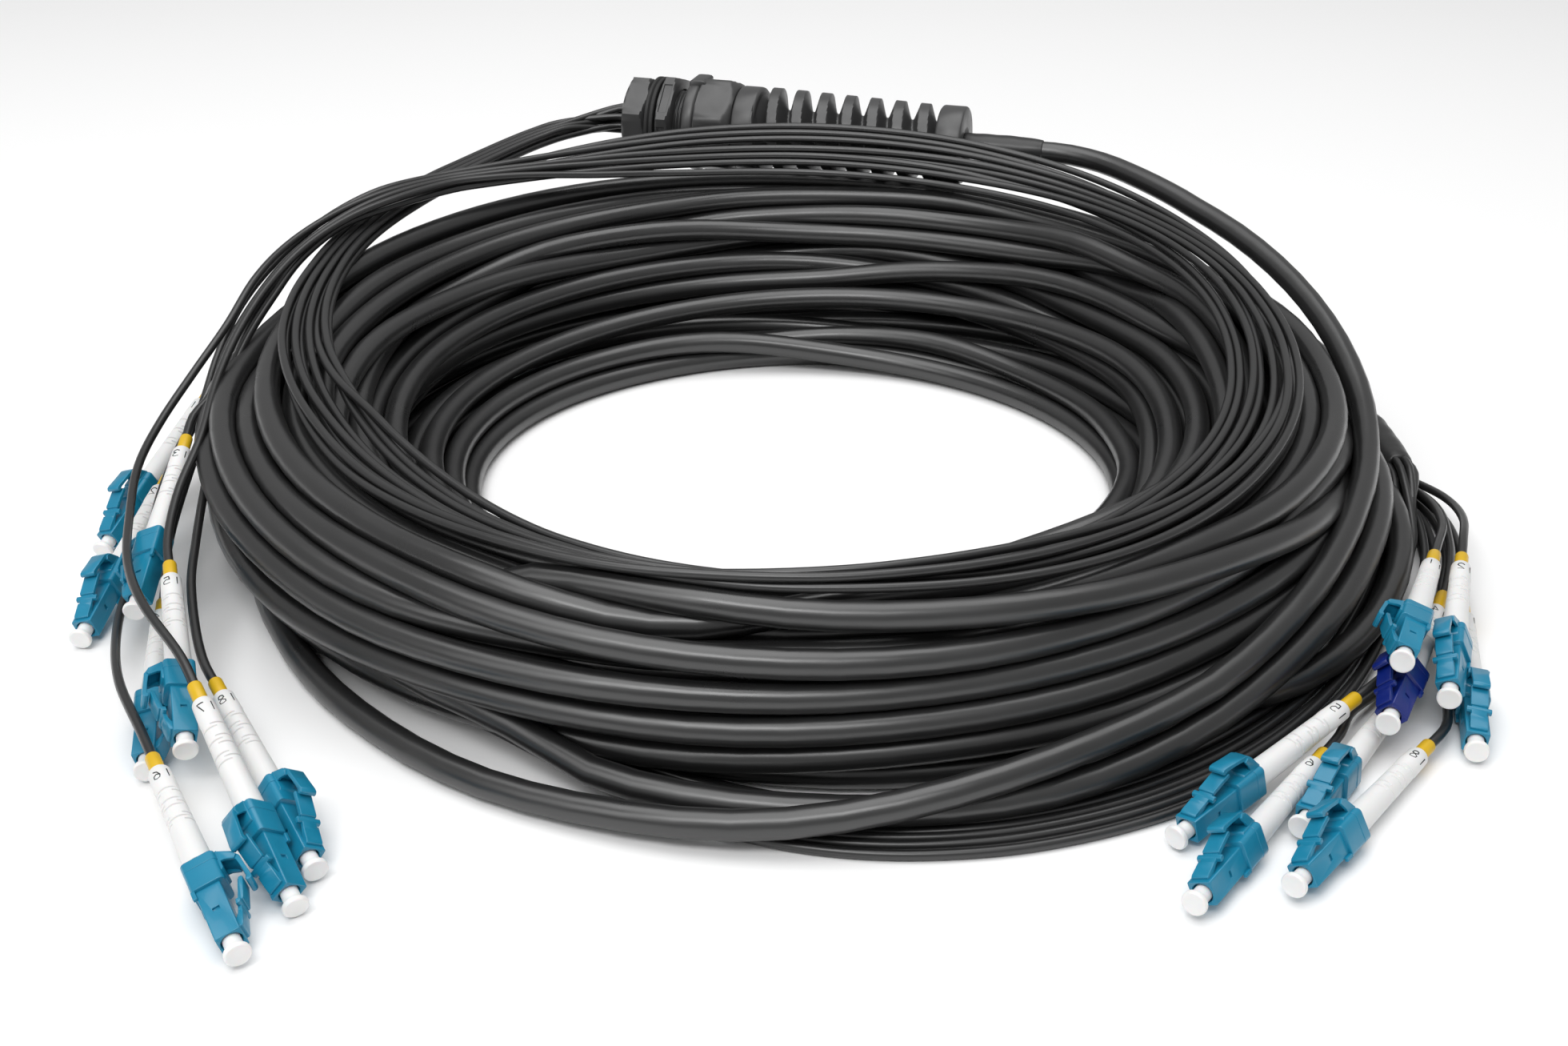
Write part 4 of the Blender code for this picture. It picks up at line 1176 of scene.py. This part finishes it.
# %% End nut, seal and washer
def end_nut():
    turns, rows = nut_rows(24.0, 0.0, 7.8, 11.0, GLAND_ROLL, 1.3)
    rows = [(1.6, 6.0), (0.3, 6.0), (0.0, 6.3), *rows, (7.8, BORE_R), (3.0, BORE_R), (3.0, 6.0)]
    return add_mesh("nut", rings(turns, rows, closed=True))


def seal():
    ring = [(1.9, 0.5), (1.5, 1.0), (1.35, 2.6), (1.5, 5.2), (1.9, 5.95), (2.6, 5.95), (2.6, 0.5)]
    return add_mesh("seal", rings(EVEN, ring, closed=True), 50)


def washer():
    ring = [(8.0, BORE_R), (8.0, 13.2), (8.15, 13.4), (8.9, 13.4), (9.3, 12.9), (9.7, 13.4), (10.5, 13.4)]
    ring += [(10.7, 13.2), (10.7, BORE_R)]
    return add_mesh("washer", rings(FINE, ring, closed=True))


# %% Locknut with a recessed panel on each flat
def locknut():
    turns, rows = nut_rows(26.0, 11.1, 16.1, 12.2, 12.0, 1.0)
    middle = hexagon(turns, 26.0, 12.0)
    from_edge = np.abs((turns - 12.0) % 60 - 30)
    panel = np.where(from_edge < 20.7, 0.35, 0.0)
    recess = [(12.25, middle), (12.45, middle - panel), (14.75, middle - panel), (14.95, middle)]
    rows = [*rows[:4], *recess, *rows[4:]]
    rows = [(11.1, BORE_R), *rows, (16.1, BORE_R)]
    return add_mesh("locknut", rings(turns, rows, closed=True))


# %% Body with thread, flange, hexagon and lug
def thread_radius(turn, s, pitch=1.05):
    wave = np.abs(((s - pitch * turn / 360.0) / pitch) % 1.0 - 0.5) * 2
    return STEM_R - 0.65 + 0.65 * np.clip((wave - 0.2) / 0.55, 0, 1)


def body_parts():
    heights = np.arange(1.9, 19.75, 0.15)
    stem = rings(EVEN, [(1.9, 8.6), *rows_between(heights, thread_radius, EVEN), (19.8, 9.0)])
    flange = [(19.4, 9.0), (19.7, 12.9), (19.9, 13.4), (20.3, 13.6), (22.4, 13.6), (22.9, 13.4), (23.3, 12.7)]
    flange += [(23.8, 11.0)]
    hex_turns, rows = nut_rows(26.0, 23.0, 34.6, 12.7, GLAND_ROLL, 1.0)
    rows = [*rows[:4], *nut_rows(26.0, 23.0, 34.6, 12.3, GLAND_ROLL, 2.4)[1][4:]]
    block = rings(hex_turns, [(23.0, 10.0), *rows, (34.75, 10.0)])
    lug = [(11.5, 19.8), (11.5, 24.9), (13.9, 24.9), (14.35, 24.4), (14.5, 23.4), (14.5, 21.2), (14.35, 20.2)]
    lug += [(13.9, 19.8)]
    forms = (("stem", stem), ("flange", rings(FINE, flange)), ("hex", block))
    return [*(add_mesh(*form) for form in forms), moulded(lug, 8.0, 0.5, segments=3)]


# %% Dome nut with the helical bend guard
GUARD_PITCH = 7.57


def guard_radius(turn, s):
    signed = (turn + 180.0) % 360.0 - 180.0
    phase = (s - 46.2 - GUARD_PITCH * signed / 360.0) / GUARD_PITCH
    from_ridge = np.abs(phase - np.round(phase)) * GUARD_PITCH
    top = np.interp(s, [46.2, 91.6], [12.6, 11.3])
    side = np.clip((3.45 - from_ridge) / 1.95, 0, 1)
    return NECK_R + (top - NECK_R) * side


def dome_parts():
    collar = [(34.9, 9.0), (34.9, 12.0), (35.2, 12.35), (35.7, 12.5), (40.6, 12.5), (41.2, 12.35)]
    collar += [(41.6, 11.95), (41.8, 11.4), (41.8, 10.4), (42.3, 9.6), (43.8, 7.6), (44.6, 5.0)]
    core = rows_between(np.arange(41.0, 97.3, 0.25), guard_radius, FINE)
    end = [(96.2, 6.0), (96.5, 10.7), (96.8, 11.1), (97.2, 11.3), (103.2, 11.3), (103.7, 11.1), (104.0, 10.6)]
    end += [(104.0, 5.4), (103.2, 4.6)]
    return [add_mesh("dome", bm) for bm in [rings(FINE, rows) for rows in (collar, core, end)]]


# %% Shrunk sleeves
def shrunk(profile, seed):
    """A shrunk sleeve follows what is inside it and is never quite even."""
    first, second, _ = np.random.default_rng(seed).uniform(0, 6.28, 3)
    places = [height for height, radius in profile]
    heights = np.unique([*np.linspace(places[0], places[-1], 40), *places])

    def radius_at(turn, s):
        uneven = 0.05 * np.sin(s * 0.9 + first) + 0.04 * np.sin(np.radians(turn) * 2 + s * 0.4 + second)
        return read_off(profile, s)[0] + uneven

    turns = np.arange(0, 360, 15)
    return add_mesh("shrunk", rings(turns, rows_between(heights, radius_at, turns)), 60)


SLEEVE = [(103.6, 3.7), (104.3, 3.8), (110.0, 3.85), (121.0, 3.8), (125.5, 3.5), (126.8, 3.35), (127.0, 3.1)]
DIVIDER = [(0.0, 3.15), (0.3, 3.3), (3.0, 3.5), (5.5, 4.1), (8.0, 4.42), (16.0, 4.45), (24.0, 4.4)]
DIVIDER += [(27.6, 4.2), (29.5, 3.95), (29.8, 3.7), (29.87, 3.5)]

gland = {
    "end_nut": gland_piece("end_nut", [end_nut()]),
    "seal": gland_piece("seal", [seal()]),
    "washer": gland_piece("washer", [washer()]),
    "locknut": gland_piece("locknut", [locknut()], body="locknut"),
    "body": gland_piece("body", body_parts()),
    "dome_nut": gland_piece("dome_nut", dome_parts()),
    "sleeve": gland_piece("sleeve", [shrunk(SLEEVE, 1)]),
}


def divider_piece():
    way = Vector(DIVIDER_WAY)
    place = frame_at(DIVIDER_REAR, UP - way * UP.dot(way), way)
    mesh = melted("divider_sleeve", [shrunk(DIVIDER, 2)])
    return place_piece("divider_sleeve", mesh, place, ["divider"])


divider_sleeve = divider_piece()

# %% [markdown]
# ## Materials
# No part is one flat colour. Four small shader groups are shared: fine grain of a moulded surface,
# roughness that changes where the surface has been handled, a slow change of tone, and the drawn lines
# along an extruded jacket.

# %% Nodes and their inputs
FLOAT, COLOUR = "NodeSocketFloat", "NodeSocketColor"


def set_input(tree, socket, value):
    """Another node's output is linked, and a number or a colour is typed in."""
    if isinstance(value, bpy.types.NodeSocket):
        tree.links.new(value, socket)
    else:
        socket.default_value = (*value, 1.0) if isinstance(value, tuple) else value


def set_inputs(tree, node, inputs):
    """Inputs by name, with _ in place of a space."""
    for label, value in inputs.items():
        set_input(tree, node.inputs[label.replace("_", " ")], value)
    return node


def add_node(tree, kind, **inputs):
    return set_inputs(tree, tree.nodes.new(f"ShaderNode{kind}"), inputs)


def arithmetic(tree, operation, *values):
    node = add_node(tree, "Math")
    node.operation = operation
    for socket, value in zip(node.inputs, values):
        set_input(tree, socket, value)
    return node.outputs[0]


def new_group(name, inputs, output, kind):
    """An empty group with one output. Returns it with its own inputs and the socket of its result."""
    group = bpy.data.node_groups.new(name, "ShaderNodeTree")
    for label, (socket_kind, value) in inputs.items():
        group.interface.new_socket(label, in_out="INPUT", socket_type=socket_kind).default_value = value
    group.interface.new_socket(output, in_out="OUTPUT", socket_type=kind)
    return group, group.nodes.new("NodeGroupInput").outputs, group.nodes.new("NodeGroupOutput").inputs[0]


def own_noise(group, given, detail, rough=0.5):
    """Noise in the object's own space, at the scale given to the group."""
    where = add_node(group, "TexCoord").outputs["Object"]
    noise = add_node(group, "TexNoise", Vector=where, Scale=given["Scale"], Detail=detail, Roughness=rough)
    return noise.outputs["Fac"]


# %% Shader groups
def grain_group():
    """Height for a Bump node: the fine texture of a moulded or extruded surface."""
    inputs = {"Scale": (FLOAT, 4000.0), "Depth": (FLOAT, 0.3)}
    group, given, result = new_group("fine_grain", inputs, "Height", FLOAT)
    height = arithmetic(group, "MULTIPLY", own_noise(group, given, 3.0), given["Depth"])
    group.links.new(height, result)


def handled_group():
    """Roughness between two values, in patches such as fingers leave."""
    inputs = {"Polished": (FLOAT, 0.3), "Dull": (FLOAT, 0.5), "Scale": (FLOAT, 60.0)}
    group, given, result = new_group("handled", inputs, "Roughness", FLOAT)
    limits = {"From_Min": 0.35, "From_Max": 0.68, "To_Min": given["Polished"], "To_Max": given["Dull"]}
    spread = add_node(group, "MapRange", Value=own_noise(group, given, 5.0, 0.6), **limits)
    group.links.new(spread.outputs["Result"], result)


def tone_group():
    """A colour that drifts slowly between two shades."""
    shades = {"Shade": (COLOUR, (0.02, 0.02, 0.02, 1)), "Light": (COLOUR, (0.04, 0.04, 0.04, 1))}
    group, given, result = new_group("slow_tone", {**shades, "Scale": (FLOAT, 40.0)}, "Color", COLOUR)
    mix = add_node(group, "Mix")
    mix.data_type = "RGBA"
    noise = own_noise(group, given, 2.0)
    set_inputs(group, mix, {"Factor": noise, "A": given["Shade"], "B": given["Light"]})
    group.links.new(mix.outputs["Result"], result)


def drawn_group():
    """Faint lines along an extruded jacket, from the die it came through. Height for a Bump node."""
    inputs = {"Around": (FLOAT, 40.0), "Along": (FLOAT, 8.0)}
    group, given, result = new_group("drawn_lines", inputs, "Height", FLOAT)
    place = add_node(group, "SeparateXYZ", Vector=add_node(group, "TexCoord").outputs["UV"]).outputs
    along_it = arithmetic(group, "MULTIPLY", place["X"], given["Along"])
    round_it = arithmetic(group, "MULTIPLY", place["Y"], given["Around"])
    lines = add_node(group, "CombineXYZ", X=along_it, Y=round_it).outputs[0]
    noise = add_node(group, "TexNoise", Vector=lines, Scale=1.0, Detail=3.0, Roughness=0.6)
    group.links.new(noise.outputs["Fac"], result)


for make_group in (grain_group, handled_group, tone_group, drawn_group):
    make_group()
print("shader groups:", sorted(group.name for group in bpy.data.node_groups))


# %% Materials from the groups
def use_group(tree, name, **inputs):
    """A shared group with its own settings. Each group has one output."""
    node = add_node(tree, "Group")
    node.node_tree = bpy.data.node_groups[name]
    return set_inputs(tree, node, inputs).outputs[0]


def finish(name, shade, light, rough, grain, tone_scale, drawn=None, **constants):
    """rough holds two values, grain its scale and depth, and drawn the lines' counts and depth."""
    made = bpy.data.materials.new(name)
    made.use_nodes = True
    tree = made.node_tree
    tone = use_group(tree, "slow_tone", Shade=shade, Light=light, Scale=tone_scale)
    handled = use_group(tree, "handled", Polished=rough[0], Dull=rough[1], Scale=tone_scale * 1.7)
    height = use_group(tree, "fine_grain", Scale=grain[0], Depth=grain[1])
    if drawn:
        lines = use_group(tree, "drawn_lines", Around=drawn[0], Along=drawn[1])
        height = arithmetic(tree, "MULTIPLY_ADD", lines, drawn[2], height)
    bump = add_node(tree, "Bump", Distance=0.1 * MM, Strength=0.6, Height=height).outputs["Normal"]
    looks = {"Base_Color": tone, "Roughness": handled, "Normal": bump, **constants}
    set_inputs(tree, tree.nodes["Principled BSDF"], looks)
    return made


MATERIALS = {
    "trunk": finish("jacket_trunk", (0.010, 0.010, 0.0102), (0.019, 0.019, 0.0193), (0.27, 0.38),
                    (1500, 0.10), 25, (34.0, 900.0, 0.16), Specular_IOR_Level=0.95),
    "leg": finish("jacket_leg", (0.011, 0.011, 0.0112), (0.018, 0.018, 0.0183), (0.30, 0.40),
                  (2500, 0.06), 40, (16.0, 60.0, 0.08), Specular_IOR_Level=0.8),
    "nylon": finish("nylon_black", (0.036, 0.036, 0.0365), (0.054, 0.054, 0.0545), (0.34, 0.47),
                    (1800, 0.10), 90, Specular_IOR_Level=0.7),
    "shrink": finish("shrink_black", (0.018, 0.018, 0.0182), (0.026, 0.026, 0.0262), (0.30, 0.42),
                     (900, 0.25), 120),
    "rubber": finish("rubber_black", (0.014, 0.014, 0.014), (0.022, 0.022, 0.022), (0.6, 0.75),
                     (2500, 0.15), 150),
    "blue": finish("plastic_blue", (0.006, 0.185, 0.315), (0.010, 0.235, 0.385), (0.28, 0.40),
                   (1200, 0.08), 150, Coat_Weight=0.15),
    "navy": finish("plastic_navy", (0.001, 0.010, 0.135), (0.002, 0.016, 0.190), (0.32, 0.44),
                   (1200, 0.08), 150, Coat_Weight=0.15),
    "boot": finish("boot_white", (0.74, 0.74, 0.735), (0.80, 0.80, 0.795), (0.42, 0.55),
                   (1500, 0.08), 120, Subsurface_Weight=0.1, Subsurface_Scale=0.001),
    "cap": finish("cap_white", (0.80, 0.80, 0.795), (0.86, 0.86, 0.855), (0.35, 0.5),
                  (1200, 0.06), 150, Subsurface_Weight=0.2, Subsurface_Scale=0.001),
    "tube": finish("tube_yellow", (0.620, 0.380, 0.008), (0.710, 0.450, 0.014), (0.30, 0.42),
                   (1500, 0.06), 150),
    "ink": finish("ink_black", (0.015, 0.015, 0.015), (0.03, 0.03, 0.03), (0.5, 0.65), (3000, 0.1), 300),
}


def dress(obj, kind):
    """The material goes on the object, so that shared meshes can differ in colour."""
    if not obj.data.materials:
        obj.data.materials.append(None)
    obj.material_slots[0].link = "OBJECT"
    obj.material_slots[0].material = MATERIALS[kind]


dress(trunk, "trunk")
for key, leg in legs.items():
    dress(leg, "leg")
for kind, copies in PIECES.items():
    for key, obj in copies.items():
        dress(obj, {"housing": "blue", "number": "ink"}.get(kind, kind))
dress(PIECES["housing"]["R4"], "navy")
for name, obj in gland.items():
    dress(obj, {"seal": "rubber", "sleeve": "shrink", "washer": "rubber"}.get(name, "nylon"))
dress(divider_sleeve, "shrink")

# %% [markdown]
# ## Floor and light
# The photograph is a product shot on white: a pale floor, a large soft light overhead and a weak even light
# round it. The floor comes out nearly white, and the black jackets show the soft light as a broad sheen.


# %% Floor and light
def add_floor(half=20.0):
    made = bpy.data.materials.new("floor_white")
    made.use_nodes = True
    looks = {"Base_Color": (0.95, 0.95, 0.95), "Roughness": 0.85}
    set_inputs(made.node_tree, made.node_tree.nodes["Principled BSDF"], looks)
    mesh = bpy.data.meshes.new("floor")
    corners = [(-half, -half, 0.0), (half, -half, 0.0), (half, half, 0.0), (-half, half, 0.0)]
    mesh.from_pydata(corners, [], [(0, 1, 2, 3)])
    mesh.materials.append(made)
    add_object("floor", mesh)


def area_light(name, place, aim, size, power):
    data = bpy.data.lights.new(name, "AREA")
    data.shape = "RECTANGLE"
    data.size, data.size_y = size
    data.energy = power
    obj = add_object(name, data)
    obj.location = place
    obj.rotation_euler = (Vector(aim) - Vector(place)).to_track_quat("-Z", "Y").to_euler()


add_floor()
area_light("overhead", (-0.05, 0.10, 1.15), (0, 0, 0), (1.3, 1.0), 9.0)
area_light("key", (-0.15, -0.75, 1.00), (0, 0, 0), (0.8, 0.35), 5.5)
area_light("front_left", (-0.9, -0.9, 0.9), (0, 0, 0), (0.7, 0.7), 3.0)
world = bpy.data.worlds.new("studio")
world.use_nodes = True
sky = {"Color": (1.0, 1.0, 1.0), "Strength": 0.38}
set_inputs(world.node_tree, world.node_tree.nodes["Background"], sky)
bpy.context.scene.world = world
bpy.context.scene.view_settings.view_transform = "Standard"

# %% Update the scene
bpy.context.view_layer.update()
